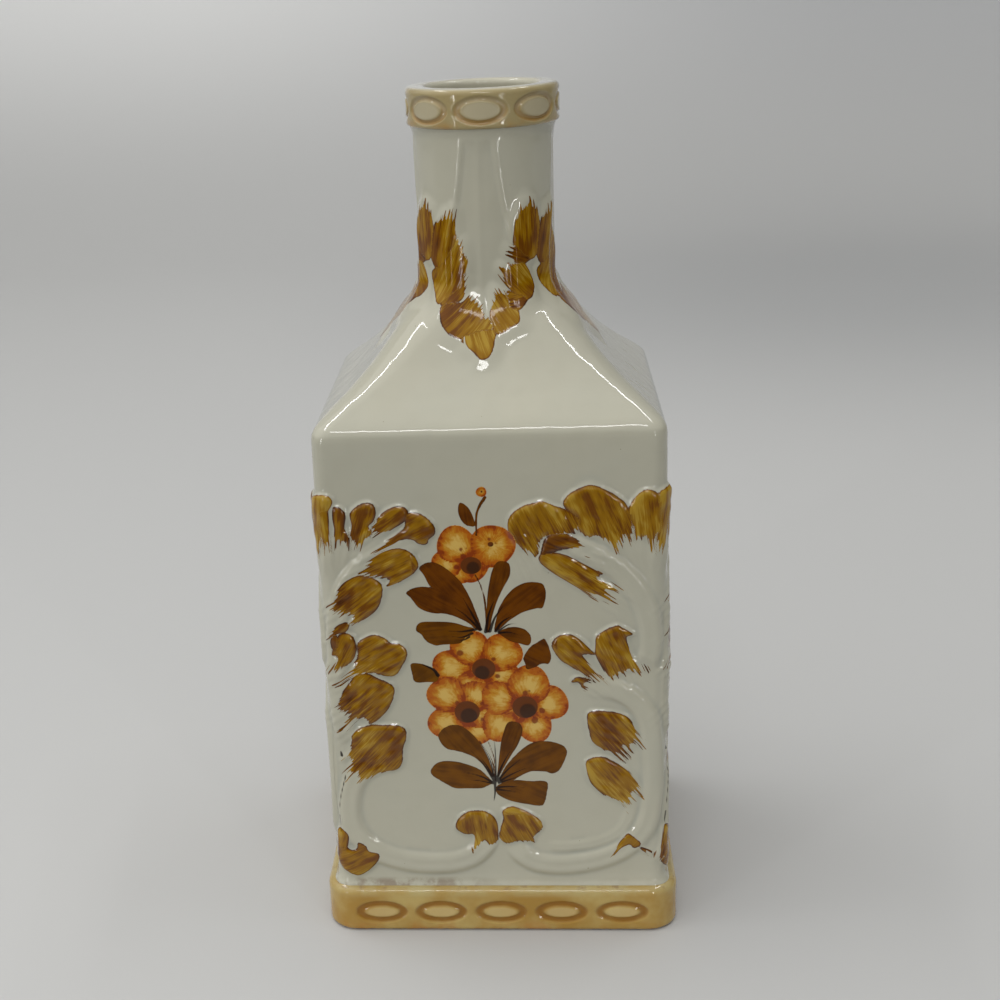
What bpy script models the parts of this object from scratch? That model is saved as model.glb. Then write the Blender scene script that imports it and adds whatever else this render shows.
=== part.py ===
"""A square ceramic decanter: a hollow slip-cast vessel on a moulded plinth, with a ringed mouth collar, a
leaf garland round the neck and scroll and leaf relief on each of its four sides. Metres, +Z up. The origin
is the centre of the face it stands on, the painted front faces -Y and X runs to the right of someone facing
it."""

import math

import bmesh
import bpy
from mathutils import Matrix, Vector

MM = 0.001

# Joints and welds
SEAT_GAP = 0.3 * MM          # the slip joint between two fired-on pieces
WELD = 0.01 * MM             # points nearer than this are one

# Vessel
BODY_WIDTH = 100.4 * MM
BODY_DEPTH = 95.0 * MM
BODY_CORNER = 4.5 * MM
BODY_WALL = 4.2 * MM
FLOOR_THICKNESS = 5.0 * MM
INNER_CORNER = 5.0 * MM
FLOOR_FILLET = 4.0 * MM
SHOULDER_START = 152.0 * MM  # where the upright wall begins to turn in, above what the decanter stands on
SHOULDER_RISE = 54.0 * MM    # from there to where the shoulder has become the round neck
SHOULDER_WALL = 5.8 * MM     # the shoulder's wall, measured straight up
NECK_LENGTH = 33.0 * MM      # from there to the collar
NECK_WALL = 4.4 * MM
NECK_BLEND = 6.0 * MM        # how softly the pyramid runs into the round neck
BORE_RADIUS = 16.2 * MM      # the neck, the tongue and the collar are all measured out from it
NECK_FLARE = 0.8 * MM        # how far the neck opens out to meet the collar
NECK_FLARE_HEIGHT = 3.0 * MM

# Mouth collar
COLLAR_HEIGHT = 11.0 * MM
COLLAR_REACH = 1.7 * MM      # how far it stands out from the neck
COLLAR_SOCKET_DEPTH = 5.0 * MM
COLLAR_EDGE = 0.9 * MM
TONGUE_WALL = 2.4 * MM       # the wall that rises into the collar's socket
COLLAR_OVAL_COUNT = 8
COLLAR_OVAL_LAND = 1.5 * MM  # the plain clay between two ovals
COLLAR_OVAL_HEIGHT = 8.2 * MM

# Plinth
PLINTH_LEDGE = 3.7 * MM      # how far it stands out from the body
PLINTH_HEIGHT = 14.7 * MM
PLINTH_CORNER = 9.5 * MM
PLINTH_EDGE = 2.4 * MM
PLINTH_FOOT_EDGE = 1.6 * MM
FOOT_RING_WIDTH = 12.0 * MM
FOOT_RING_THICKNESS = 2.7 * MM
PLINTH_OVAL_WIDTH = 15.0 * MM
PLINTH_OVAL_HEIGHT = 7.0 * MM
PLINTH_OVAL_SPACING = 18.0 * MM  # about one oval to this much of a side, between the two margins
PLINTH_OVAL_MARGIN = 7.9 * MM

# Oval ornament, shared by the collar and the plinth
OVAL_GROOVE_WIDTH = 1.9 * MM
OVAL_GROOVE_DEPTH = 0.9 * MM
CUT_OVERRUN = 2.0 * MM       # how far a cutter stands out of the clay it cuts
OVAL_POINTS = 12

# Relief
LEAF_HEIGHT = 1.7 * MM
SCROLL_HEIGHT = 1.3 * MM
GARLAND_HEIGHT = 1.6 * MM
SCROLL_WIDTH = 7.6 * MM
LOBE_STEP = 0.02 * MM        # how much further out each lobe lies than the one before it
LOBE_ROOT_SHARE = 1.5        # a lobe goes this much deeper below the clay than it stands above it
LEAF_BLUNTNESS = 0.6         # below 1 the ends are rounder than a plain sphere's
LEAF_LEAN = 1.35             # above 1 the widest part lies nearer the tip
SCROLL_BLUNTNESS = 0.35
SCROLL_LEAN = 1.0

# Facets
CORNER_SEGMENTS = 4
SIDE_SEGMENTS = 8
ROUND_SEGMENTS = 36
LEAF_SIDES = 6
LEAF_RINGS = 5
SCROLL_RINGS = 11

# The shoulder's hip line: how far up the shoulder, and what is left of the body's half width there.
SHOULDER_SHARES = (
    (0.000, 1.000),
    (0.065, 0.995),
    (0.102, 0.982),
    (0.133, 0.955),
    (0.160, 0.925),
    (0.222, 0.840),
    (0.296, 0.755),
    (0.417, 0.640),
    (0.519, 0.565),
    (0.611, 0.490),
    (0.704, 0.400),
    (0.796, 0.320),
    (0.889, 0.250),
    (1.000, 0.180),
)

NECK_RADIUS = BORE_RADIUS + NECK_WALL
TONGUE_RADIUS = BORE_RADIUS + TONGUE_WALL
COLLAR_RADIUS = NECK_RADIUS + COLLAR_REACH
COLLAR_OVAL_WIDTH = 2 * math.pi * COLLAR_RADIUS / COLLAR_OVAL_COUNT - COLLAR_OVAL_LAND
PLINTH_WIDTH = BODY_WIDTH + 2 * PLINTH_LEDGE
PLINTH_DEPTH = BODY_DEPTH + 2 * PLINTH_LEDGE
VESSEL_BOTTOM = FOOT_RING_THICKNESS + SEAT_GAP
NECK_START = SHOULDER_START + SHOULDER_RISE
COLLAR_BOTTOM = NECK_START + NECK_LENGTH
TOTAL_HEIGHT = COLLAR_BOTTOM + COLLAR_HEIGHT
NECK_TOP = COLLAR_BOTTOM - SEAT_GAP
TONGUE_TOP = COLLAR_BOTTOM + COLLAR_SOCKET_DEPTH - SEAT_GAP
FACES = ("front", "right", "back", "left")


def clear_scene():
    for found in list(bpy.data.objects):
        bpy.data.objects.remove(found, do_unlink=True)


def collection(name):
    made = bpy.data.collections.new(name)
    bpy.context.scene.collection.children.link(made)
    return made


def material(name, colour, roughness):
    made = bpy.data.materials.new(name)
    made.use_nodes = True
    shader = made.node_tree.nodes["Principled BSDF"]
    shader.inputs["Base Color"].default_value = (*colour, 1.0)
    shader.inputs["Roughness"].default_value = roughness
    shader.inputs["Metallic"].default_value = 0.0
    return made


def add_object(name, mesh, where, finish=None):
    made = bpy.data.objects.new(name, mesh)
    where.objects.link(made)
    if finish is not None:
        mesh.materials.append(finish)
    return made


def mesh_from(name, bm, faces_known=False):
    mesh = bpy.data.meshes.new(name)
    if not faces_known:
        bm.normal_update()
        bmesh.ops.recalc_face_normals(bm, faces=bm.faces)
    bm.to_mesh(mesh)
    bm.free()
    return mesh


def as_helper(obj):
    obj.hide_render = True
    obj.display_type = "WIRE"
    return obj


def soften(obj, angle=math.radians(35)):
    obj.data.shade_smooth()
    obj.data.set_sharp_from_angle(angle=angle)


def cut_with(obj, cutter, solver="EXACT"):
    cut = obj.modifiers.new("cut by " + cutter.name, "BOOLEAN")
    cut.operation = "DIFFERENCE"
    cut.solver = solver
    cut.object = cutter


def join_with(obj, other):
    joined = obj.modifiers.new("joined with " + other.name, "BOOLEAN")
    joined.operation = "UNION"
    joined.solver = "MANIFOLD"
    joined.object = other


# Sections

def rounded_rectangle_radius(azimuth, half_width, half_depth, corner):
    """Distance from the centre to a rounded rectangle's edge, in the direction azimuth."""
    along_x, along_y = abs(math.cos(azimuth)), abs(math.sin(azimuth))
    reach = min(half_width / max(along_x, 1e-9), half_depth / max(along_y, 1e-9))
    arc_x, arc_y = half_width - corner, half_depth - corner
    if reach * along_x <= arc_x or reach * along_y <= arc_y:
        return reach
    middle = arc_x * along_x + arc_y * along_y
    return middle + math.sqrt(max(middle * middle - arc_x * arc_x - arc_y * arc_y + corner * corner, 0.0))


def soft_maximum(first, second, blend):
    overlap = max(blend - abs(first - second), 0.0) / blend
    return max(first, second) + overlap * overlap * blend / 4


def shoulder_share(height):
    """What is left of the body's half width at this height, read from the hip line."""
    rise = (height - SHOULDER_START) / SHOULDER_RISE
    if rise <= 0:
        return 1.0
    for (low, before), (high, after) in zip(SHOULDER_SHARES, SHOULDER_SHARES[1:]):
        if rise <= high:
            return before + (after - before) * (rise - low) / (high - low)
    return SHOULDER_SHARES[-1][1]


def vessel_radius(azimuth, height, half_width, half_depth, corner, neck):
    """The square body, its pyramid shoulder and the round neck, as one distance from the axis."""
    share = shoulder_share(height)
    square = rounded_rectangle_radius(azimuth, half_width * share, half_depth * share, corner * share)
    return soft_maximum(square, neck, NECK_BLEND)


def outside_radius(azimuth, height):
    opened = max(height - (NECK_TOP - NECK_FLARE_HEIGHT), 0.0) / NECK_FLARE_HEIGHT
    neck = NECK_RADIUS + NECK_FLARE * opened * opened
    return vessel_radius(azimuth, height, BODY_WIDTH / 2, BODY_DEPTH / 2, BODY_CORNER, neck)


def section_azimuths(half_width, half_depth, corner):
    """Directions that fall on the corners' arcs and evenly along the sides, anticlockwise from the front."""
    azimuths = []
    for turn in range(4):
        across, out = (half_width, half_depth) if turn % 2 == 0 else (half_depth, half_width)
        start = math.atan2(across - corner, out)
        facing = -math.pi / 2 + turn * math.pi / 2
        for step in range(SIDE_SEGMENTS):
            azimuths.append(facing - start + 2 * start * step / SIDE_SEGMENTS)
        for step in range(CORNER_SEGMENTS):
            turned = math.pi / 2 * step / CORNER_SEGMENTS
            point_across = across - corner + corner * math.sin(turned)
            point_out = out - corner + corner * math.cos(turned)
            azimuths.append(facing + math.atan2(point_across, point_out))
    return azimuths


def loft(bm, rings, closed_loop=False):
    """Joins rings of equal point count with quads, and caps the two ends or joins the last to the first."""
    made = [[bm.verts.new(point) for point in ring] for ring in rings]
    pairs = list(zip(made, made[1:]))
    if closed_loop:
        pairs.append((made[-1], made[0]))
    for lower, upper in pairs:
        for step, vertex in enumerate(lower):
            following = (step + 1) % len(lower)
            bm.faces.new((vertex, lower[following], upper[following], upper[step]))
    if not closed_loop:
        bm.faces.new(made[0][::-1])
        bm.faces.new(made[-1])


def ring_at(azimuths, radius_of, height):
    return [
        Vector((radius_of(azimuth) * math.cos(azimuth), radius_of(azimuth) * math.sin(azimuth), height))
        for azimuth in azimuths
    ]


# Vessel

def shoulder_heights():
    return [SHOULDER_START + share * SHOULDER_RISE for share, _ in SHOULDER_SHARES]


def outside_rings(azimuths, bottom, top, gap=0.0):
    """The vessel's outside, or that surface swelled outwards and upwards by a gap."""
    heights = [bottom, *shoulder_heights(), top - NECK_FLARE_HEIGHT, top - NECK_FLARE_HEIGHT / 2, top]
    rings = []
    for z in heights:
        rings.append(ring_at(azimuths, lambda azimuth, z=z: outside_radius(azimuth, z) + gap, z + gap))
    return rings


def inside_rings(azimuths):
    """The cavity's rings from the tongue's top down to the floor. Its shoulder is the outer one, let down by
    the shoulder's wall."""
    half_width, half_depth = BODY_WIDTH / 2 - BODY_WALL, BODY_DEPTH / 2 - BODY_WALL
    floor = VESSEL_BOTTOM + FLOOR_THICKNESS

    def radius(azimuth, z):
        return vessel_radius(azimuth, z + SHOULDER_WALL, half_width, half_depth, INNER_CORNER, BORE_RADIUS)

    rings = [ring_at(azimuths, lambda azimuth: BORE_RADIUS, TONGUE_TOP)]
    for outer_height in reversed(shoulder_heights()):
        z = outer_height - SHOULDER_WALL
        rings.append(ring_at(azimuths, lambda azimuth, z=z: radius(azimuth, z), z))
    for step in range(3):
        turned = math.pi / 2 * step / 2
        drawn_in = FLOOR_FILLET * (1 - math.cos(turned))
        z = floor + FLOOR_FILLET * (1 - math.sin(turned))
        rings.append(ring_at(azimuths, lambda azimuth, d=drawn_in: radius(azimuth, floor) - d, z))
    return rings


def make_vessel(where, finish):
    bm = bmesh.new()
    azimuths = section_azimuths(BODY_WIDTH / 2, BODY_DEPTH / 2, BODY_CORNER)
    rings = outside_rings(azimuths, VESSEL_BOTTOM, NECK_TOP)
    rings.append(ring_at(azimuths, lambda azimuth: TONGUE_RADIUS, NECK_TOP))
    rings.append(ring_at(azimuths, lambda azimuth: TONGUE_RADIUS, TONGUE_TOP))
    rings.extend(inside_rings(azimuths))
    loft(bm, rings)
    vessel = add_object("vessel", mesh_from("vessel", bm), where, finish)
    soften(vessel)
    return vessel


def make_seat_cutter(where):
    """The vessel's outside, swelled by the slip joint: what is sprigged on is cut to it."""
    bm = bmesh.new()
    azimuths = section_azimuths(BODY_WIDTH / 2, BODY_DEPTH / 2, BODY_CORNER)
    loft(bm, outside_rings(azimuths, VESSEL_BOTTOM, NECK_TOP, SEAT_GAP))
    return as_helper(add_object("seat_cutter", mesh_from("seat_cutter", bm), where))


# Oval ornament

def ellipse_into(curve, width, height):
    spline = curve.splines.new("POLY")
    spline.points.add(OVAL_POINTS - 1)
    for step, point in enumerate(spline.points):
        turned = 2 * math.pi * step / OVAL_POINTS
        point.co = (width / 2 * math.cos(turned), height / 2 * math.sin(turned), 0.0, 1.0)
    spline.use_cyclic_u = True


def oval_groove_mesh(width, height):
    """A flat elliptical ring in XY, from the groove's depth below it to the cutter's overrun above it."""
    curve = bpy.data.curves.new("oval_outline", "CURVE")
    curve.dimensions = "2D"
    curve.fill_mode = "BOTH"
    curve.extrude = (OVAL_GROOVE_DEPTH + CUT_OVERRUN) / 2
    ellipse_into(curve, width, height)
    ellipse_into(curve, width - 2 * OVAL_GROOVE_WIDTH, height - 2 * OVAL_GROOVE_WIDTH)
    drawn = bpy.data.objects.new("oval_outline", curve)
    bpy.context.scene.collection.objects.link(drawn)
    bpy.context.view_layer.update()
    mesh = bpy.data.meshes.new_from_object(drawn.evaluated_get(bpy.context.evaluated_depsgraph_get()))
    bpy.data.objects.remove(drawn)
    bm = bmesh.new()
    bm.from_mesh(mesh)
    bmesh.ops.remove_doubles(bm, verts=bm.verts, dist=WELD)
    bmesh.ops.translate(bm, verts=bm.verts, vec=(0.0, 0.0, (CUT_OVERRUN - OVAL_GROOVE_DEPTH) / 2))
    bm.to_mesh(mesh)
    bm.free()
    return mesh


def oval_cutter(name, where, groove, places):
    """One cutter that holds a copy of the groove at each place; a place maps a groove point to the part, and
    keeps its faces pointing outwards."""
    bm = bmesh.new()
    for place in places:
        known = len(bm.verts)
        bm.from_mesh(groove)
        bm.verts.ensure_lookup_table()
        for vertex in bm.verts[known:]:
            vertex.co = place(vertex.co)
    return as_helper(add_object(name, mesh_from(name, bm, faces_known=True), where))


# Mouth collar

def make_collar(where, cutters, finish):
    socket = TONGUE_RADIUS + SEAT_GAP
    top, bottom = TOTAL_HEIGHT, COLLAR_BOTTOM
    profile = (
        (BORE_RADIUS + COLLAR_EDGE, top),
        (COLLAR_RADIUS - COLLAR_EDGE, top),
        (COLLAR_RADIUS, top - COLLAR_EDGE),
        (COLLAR_RADIUS, bottom + COLLAR_EDGE),
        (COLLAR_RADIUS - COLLAR_EDGE, bottom),
        (socket, bottom),
        (socket, bottom + COLLAR_SOCKET_DEPTH),
        (BORE_RADIUS, bottom + COLLAR_SOCKET_DEPTH),
        (BORE_RADIUS, top - COLLAR_EDGE),
    )
    mesh = bpy.data.meshes.new("mouth_collar")
    edges = [(step, (step + 1) % len(profile)) for step in range(len(profile))]
    mesh.from_pydata([(radius, 0.0, z) for radius, z in profile], edges, [])
    collar = add_object("mouth_collar", mesh, where, finish)
    turn = collar.modifiers.new("turned", "SCREW")
    turn.axis = "Z"
    turn.steps = turn.render_steps = ROUND_SEGMENTS
    turn.use_merge_vertices = True
    turn.merge_threshold = WELD
    turn.use_smooth_shade = True

    def place_at(azimuth):
        def place(point):
            around = azimuth + point.x / COLLAR_RADIUS
            out = COLLAR_RADIUS + point.z
            return Vector((out * math.cos(around), out * math.sin(around), (top + bottom) / 2 + point.y))
        return place

    groove = oval_groove_mesh(COLLAR_OVAL_WIDTH, COLLAR_OVAL_HEIGHT)
    turns = [-math.pi / 2 + 2 * math.pi * step / COLLAR_OVAL_COUNT for step in range(COLLAR_OVAL_COUNT)]
    cut_with(collar, oval_cutter("collar_oval_cutter", cutters, groove, [place_at(turn) for turn in turns]))
    return collar


# Plinth

def make_plinth(where, cutters, finish):
    bm = bmesh.new()

    def ring(half_width, half_depth, corner, z):
        azimuths = section_azimuths(half_width, half_depth, corner)
        return ring_at(azimuths, lambda a: rounded_rectangle_radius(a, half_width, half_depth, corner), z)

    def outer(inset, z):
        return ring(PLINTH_WIDTH / 2 - inset, PLINTH_DEPTH / 2 - inset, PLINTH_CORNER - inset, z)

    def around_body(z):
        return ring(BODY_WIDTH / 2 + SEAT_GAP, BODY_DEPTH / 2 + SEAT_GAP, BODY_CORNER + SEAT_GAP, z)

    def foot_opening(z):
        inset = FOOT_RING_WIDTH
        return ring(PLINTH_WIDTH / 2 - inset, PLINTH_DEPTH / 2 - inset, PLINTH_CORNER, z)

    turned = math.pi / 4
    rings = [
        foot_opening(0.0),
        outer(PLINTH_FOOT_EDGE, 0.0),
        outer(0.0, PLINTH_FOOT_EDGE),
        outer(0.0, PLINTH_HEIGHT - PLINTH_EDGE),
        outer(PLINTH_EDGE * (1 - math.cos(turned)), PLINTH_HEIGHT - PLINTH_EDGE * (1 - math.sin(turned))),
        outer(PLINTH_EDGE, PLINTH_HEIGHT),
        around_body(PLINTH_HEIGHT),
        around_body(FOOT_RING_THICKNESS),
        foot_opening(FOOT_RING_THICKNESS),
    ]
    loft(bm, rings, closed_loop=True)
    plinth = add_object("plinth", mesh_from("plinth", bm), where, finish)
    soften(plinth)

    def place_at(turn, across):
        out = PLINTH_DEPTH / 2 if turn % 2 == 0 else PLINTH_WIDTH / 2
        middle = (PLINTH_HEIGHT - PLINTH_EDGE + PLINTH_FOOT_EDGE) / 2
        spin = Matrix.Rotation(turn * math.pi / 2, 3, "Z")
        return lambda point: spin @ Vector((across + point.x, -out - point.z, middle + point.y))

    groove = oval_groove_mesh(PLINTH_OVAL_WIDTH, PLINTH_OVAL_HEIGHT)
    places = []
    for turn in range(4):
        run = (PLINTH_WIDTH if turn % 2 == 0 else PLINTH_DEPTH) - 2 * PLINTH_OVAL_MARGIN
        count = max(round(run / PLINTH_OVAL_SPACING), 1)
        for step in range(count):
            places.append(place_at(turn, run * ((step + 0.5) / count - 0.5)))
    cut_with(plinth, oval_cutter("plinth_oval_cutter", cutters, groove, places))
    return plinth


# Relief

def point_on_path(path, share):
    """A point along a smooth curve through the path's points, and the curve's direction there."""
    if len(path) == 2:
        start, end = Vector(path[0]), Vector(path[1])
        return start.lerp(end, share), (end - start).normalized()
    spot = min(share, 1 - 1e-9) * (len(path) - 1)
    index, t = int(spot), spot - int(spot)
    points = [Vector(path[min(max(index + step, 0), len(path) - 1)]) for step in (-1, 0, 1, 2)]
    before, start, end, after = points
    leave, arrive = (end - before) / 2, (after - start) / 2
    place = (
        start * (2 * t**3 - 3 * t**2 + 1) + leave * (t**3 - 2 * t**2 + t)
        + end * (3 * t**2 - 2 * t**3) + arrive * (t**3 - t**2)
    )
    slope = (
        start * (6 * t**2 - 6 * t) + leave * (3 * t**2 - 4 * t + 1)
        + end * (6 * t - 6 * t**2) + arrive * (3 * t**2 - 2 * t)
    )
    return place, slope.normalized()


def lobe_mesh(place, path, width, height, rings, bluntness, lean, order):
    """A rounded lobe laid along a path on the clay, the lower half of it below the surface. It is a sphere
    drawn out from the path's first point to its last, with a ridge along its top. Its order says how many
    lobes it lies over."""
    bm = bmesh.new()
    turned = Matrix.Rotation(math.pi / LEAF_SIDES, 4, "Z")
    bmesh.ops.create_uvsphere(bm, u_segments=LEAF_SIDES, v_segments=rings, radius=1.0, matrix=turned)
    for vertex in bm.verts:
        latitude = math.asin(max(-1.0, min(1.0, vertex.co.z)))
        share = 0.5 + latitude / math.pi
        around = math.atan2(vertex.co.y, vertex.co.x)
        swell = max(math.sin(math.pi * share**lean), 0.0) ** bluntness
        middle, direction = point_on_path(path, share)
        sideways = Vector((direction.y, -direction.x))
        spot = middle + sideways * (math.cos(around) * swell * width / 2)
        out = math.sin(around) * swell * height
        if out < 0:
            out *= LOBE_ROOT_SHARE
        vertex.co = place(spot.x, spot.y, out + order * LOBE_STEP)
    return mesh_from("lobe", bm)


def leaf_mesh(place, root, tip, width, height, order):
    return lobe_mesh(place, (root, tip), width, height, LEAF_RINGS, LEAF_BLUNTNESS, LEAF_LEAN, order)


def scroll_mesh(place, path, width, height):
    return lobe_mesh(place, path, width, height, SCROLL_RINGS, SCROLL_BLUNTNESS, SCROLL_LEAN, 0)


def panel_place(turn):
    """Maps across, up and out on one side of the body to the part."""
    half = BODY_DEPTH / 2 if turn % 2 == 0 else BODY_WIDTH / 2
    spin = Matrix.Rotation(turn * math.pi / 2, 3, "Z")
    return lambda across, up, out: spin @ Vector((across, -half - out, up))


def panel_point(turn, spot):
    """A spot on a side, from its share of the side's half width and its share of the panel's height."""
    across_share, up_share = spot
    half = BODY_WIDTH / 2 if turn % 2 == 0 else BODY_DEPTH / 2
    up = PLINTH_HEIGHT + up_share * (SHOULDER_START - PLINTH_HEIGHT)
    return (across_share * half, up)


# Each sprig lists its scrolls as paths and its leaves as root, tip and width; the width is a share of the
# body's width, and the spots are shares of the side's half width and of the panel's height.
PANEL_SPRIG_SHARES = {
    "left_acanthus": {
        "scrolls": (((-0.42, 0.80), (-0.72, 0.77), (-0.86, 0.69), (-0.91, 0.60), (-0.92, 0.53)),),
        "leaves": (
            ((-0.86, 0.68), (-0.90, 0.925), 0.064),
            ((-0.82, 0.70), (-0.82, 0.905), 0.044),
            ((-0.80, 0.77), (-0.66, 0.910), 0.070),
            ((-0.76, 0.77), (-0.48, 0.895), 0.066),
            ((-0.58, 0.79), (-0.32, 0.845), 0.078),
            ((-0.80, 0.73), (-0.42, 0.795), 0.078),
            ((-0.93, 0.65), (-0.63, 0.710), 0.090),
            ((-0.90, 0.55), (-0.52, 0.655), 0.086),
            ((-0.92, 0.52), (-0.60, 0.570), 0.078),
        ),
    },
    "left_scroll": {
        "scrolls": (
            ((-0.84, 0.355), (-0.90, 0.27), (-0.89, 0.18), (-0.82, 0.12), (-0.67, 0.08), (-0.43, 0.055),
             (-0.20, 0.058)),
        ),
        "leaves": (
            ((-0.88, 0.33), (-0.62, 0.455), 0.120),
            ((-0.88, 0.10), (-0.74, 0.060), 0.080),
        ),
    },
    "right_acanthus": {
        "scrolls": (((0.44, 0.80), (0.66, 0.77), (0.80, 0.72), (0.89, 0.65), (0.91, 0.59), (0.88, 0.55)),),
        "leaves": (
            ((0.62, 0.76), (0.11, 0.845), 0.100),
            ((0.76, 0.73), (0.54, 0.920), 0.120),
            ((0.86, 0.68), (0.86, 0.905), 0.085),
            ((0.76, 0.725), (0.28, 0.800), 0.070),
        ),
    },
    "right_scroll": {
        "scrolls": (
            ((0.62, 0.505), (0.84, 0.47), (0.90, 0.38), (0.91, 0.27), (0.89, 0.16), (0.80, 0.095),
             (0.55, 0.055), (0.20, 0.058)),
        ),
        "leaves": (
            ((0.72, 0.50), (0.35, 0.600), 0.080),
            ((0.86, 0.47), (0.62, 0.575), 0.080),
            ((0.93, 0.31), (0.56, 0.425), 0.074),
            ((0.86, 0.20), (0.54, 0.310), 0.090),
            ((0.92, 0.14), (0.66, 0.105), 0.055),
        ),
    },
    "centre_shell": {
        "scrolls": (),
        "leaves": (
            ((0.06, 0.105), (-0.20, 0.165), 0.078),
            ((-0.05, 0.115), (0.24, 0.160), 0.082),
            ((-0.01, 0.085), (0.06, 0.198), 0.062),
        ),
    },
}

# The garland's leaves on one side: root and tip as shares of a quarter turn from the side's middle and of
# the shoulder's rise, and the width as a share of the neck's radius.
GARLAND_LEAF_SHARES = (
    ((-0.030, 0.740), (0.000, 0.430), 0.42),
    ((-0.020, 0.735), (0.230, 0.570), 0.34),
    ((0.060, 0.680), (0.390, 0.770), 0.34),
    ((0.300, 0.690), (0.395, 1.200), 0.29),
    ((0.025, 0.745), (-0.230, 0.575), 0.34),
    ((-0.065, 0.685), (-0.390, 0.765), 0.34),
    ((-0.305, 0.685), (-0.395, 1.190), 0.29),
)


def make_sprig(name, lobes, where, helpers, seat, finish):
    """Joins a sprig's lobes into one piece and cuts its back to the vessel."""
    first, *others = lobes
    sprig = add_object(name, first, where, finish)
    for order, lobe in enumerate(others, start=2):
        join_with(sprig, as_helper(add_object(f"{name}_lobe_{order}", lobe, helpers)))
    cut_with(sprig, seat, solver="MANIFOLD")
    return sprig


def make_panel_sprigs(where, helpers, seat, finish):
    for turn, face in enumerate(FACES):
        place = panel_place(turn)
        for kind, shares in PANEL_SPRIG_SHARES.items():
            lobes = []
            for path in shares["scrolls"]:
                spots = [panel_point(turn, spot) for spot in path]
                lobes.append(scroll_mesh(place, spots, SCROLL_WIDTH, SCROLL_HEIGHT))
            for order, (root, tip, width_share) in enumerate(shares["leaves"], start=1):
                ends = (panel_point(turn, root), panel_point(turn, tip))
                lobes.append(leaf_mesh(place, *ends, width_share * BODY_WIDTH, LEAF_HEIGHT, order))
            make_sprig(f"{kind}_{face}", lobes, where, helpers, seat, finish)


def garland_place(turn):
    """Maps distance round the neck, height and distance out from the shoulder to the part."""
    facing = -math.pi / 2 + turn * math.pi / 2

    def spot(azimuth, up):
        radius = outside_radius(azimuth, up)
        return Vector((radius * math.cos(azimuth), radius * math.sin(azimuth), up))

    def place(round_neck, up, out):
        azimuth = facing + round_neck / NECK_RADIUS
        here = spot(azimuth, up)
        sideways = spot(azimuth + math.radians(1), up) - here
        upward = spot(azimuth, up + MM) - here
        return here + sideways.cross(upward).normalized() * out

    return place


def make_garlands(where, helpers, seat, finish):
    quarter = NECK_RADIUS * math.pi / 2
    for turn, face in enumerate(FACES):
        place = garland_place(turn)
        lobes = []
        for order, (root, tip, width_share) in enumerate(GARLAND_LEAF_SHARES):
            ends = [(around * quarter, SHOULDER_START + up * SHOULDER_RISE) for around, up in (root, tip)]
            lobes.append(leaf_mesh(place, *ends, width_share * NECK_RADIUS, GARLAND_HEIGHT, order))
        make_sprig(f"neck_garland_{face}", lobes, where, helpers, seat, finish)


def build():
    clear_scene()
    parts, cutters, lobes = collection("ceramic_decanter"), collection("cutters"), collection("relief_lobes")
    white = material("white_glaze", (0.60, 0.59, 0.54), 0.12)
    honey = material("honey_glaze", (0.42, 0.31, 0.14), 0.16)
    ivory = material("ivory_glaze", (0.62, 0.58, 0.46), 0.14)
    ochre = material("ochre_glaze", (0.30, 0.17, 0.03), 0.15)
    make_vessel(parts, white)
    make_plinth(parts, cutters, honey)
    make_collar(parts, cutters, ivory)
    seat = make_seat_cutter(cutters)
    make_panel_sprigs(parts, lobes, seat, ochre)
    make_garlands(parts, lobes, seat, ochre)


build()
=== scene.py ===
import math

import bpy
import numpy as np
from mathutils import Matrix, Vector


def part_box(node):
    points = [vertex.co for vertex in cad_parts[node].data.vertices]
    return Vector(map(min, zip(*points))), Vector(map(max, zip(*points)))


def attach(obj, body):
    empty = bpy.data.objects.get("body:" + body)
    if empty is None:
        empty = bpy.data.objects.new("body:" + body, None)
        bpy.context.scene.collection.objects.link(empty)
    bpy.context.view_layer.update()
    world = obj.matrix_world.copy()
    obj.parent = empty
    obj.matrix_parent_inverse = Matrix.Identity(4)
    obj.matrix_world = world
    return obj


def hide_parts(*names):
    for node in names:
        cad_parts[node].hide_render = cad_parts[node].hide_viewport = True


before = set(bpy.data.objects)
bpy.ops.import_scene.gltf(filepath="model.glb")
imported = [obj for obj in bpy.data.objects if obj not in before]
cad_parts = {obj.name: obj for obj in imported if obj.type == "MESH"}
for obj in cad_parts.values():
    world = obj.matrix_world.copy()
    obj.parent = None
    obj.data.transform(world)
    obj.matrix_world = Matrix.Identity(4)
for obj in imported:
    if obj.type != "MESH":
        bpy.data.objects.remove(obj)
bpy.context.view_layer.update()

# The four walls of the slip-cast body: white earthenware under a glossy, slightly grey glaze. Their scroll
# bands and leaf lobes are moulded in the clay, and the bouquet and the ochre strokes are brushed on by hand
# before the clear coat. The body is one casting, made here as closed pieces that meet inside the clay.
MM = 0.001
vessel_low, vessel_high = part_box("vessel")
_, plinth_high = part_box("plinth")
HALF_ACROSS = {"front": vessel_high.x, "right": vessel_high.y, "back": vessel_high.x, "left": vessel_high.y}
SIDES = tuple(HALF_ACROSS)
BODY_CORNER = 4.5 * MM
BODY_WALL = 4.2 * MM
WALL_TOP = 152.0 * MM
PANEL_FOOT = plinth_high.z
FACE_HALF = vessel_high.x / MM - BODY_CORNER / MM * (1 - math.pi / 4)
PANEL_PERIOD = 2 * FACE_HALF                 # the ornament runs on from side to side, round the corners

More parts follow.
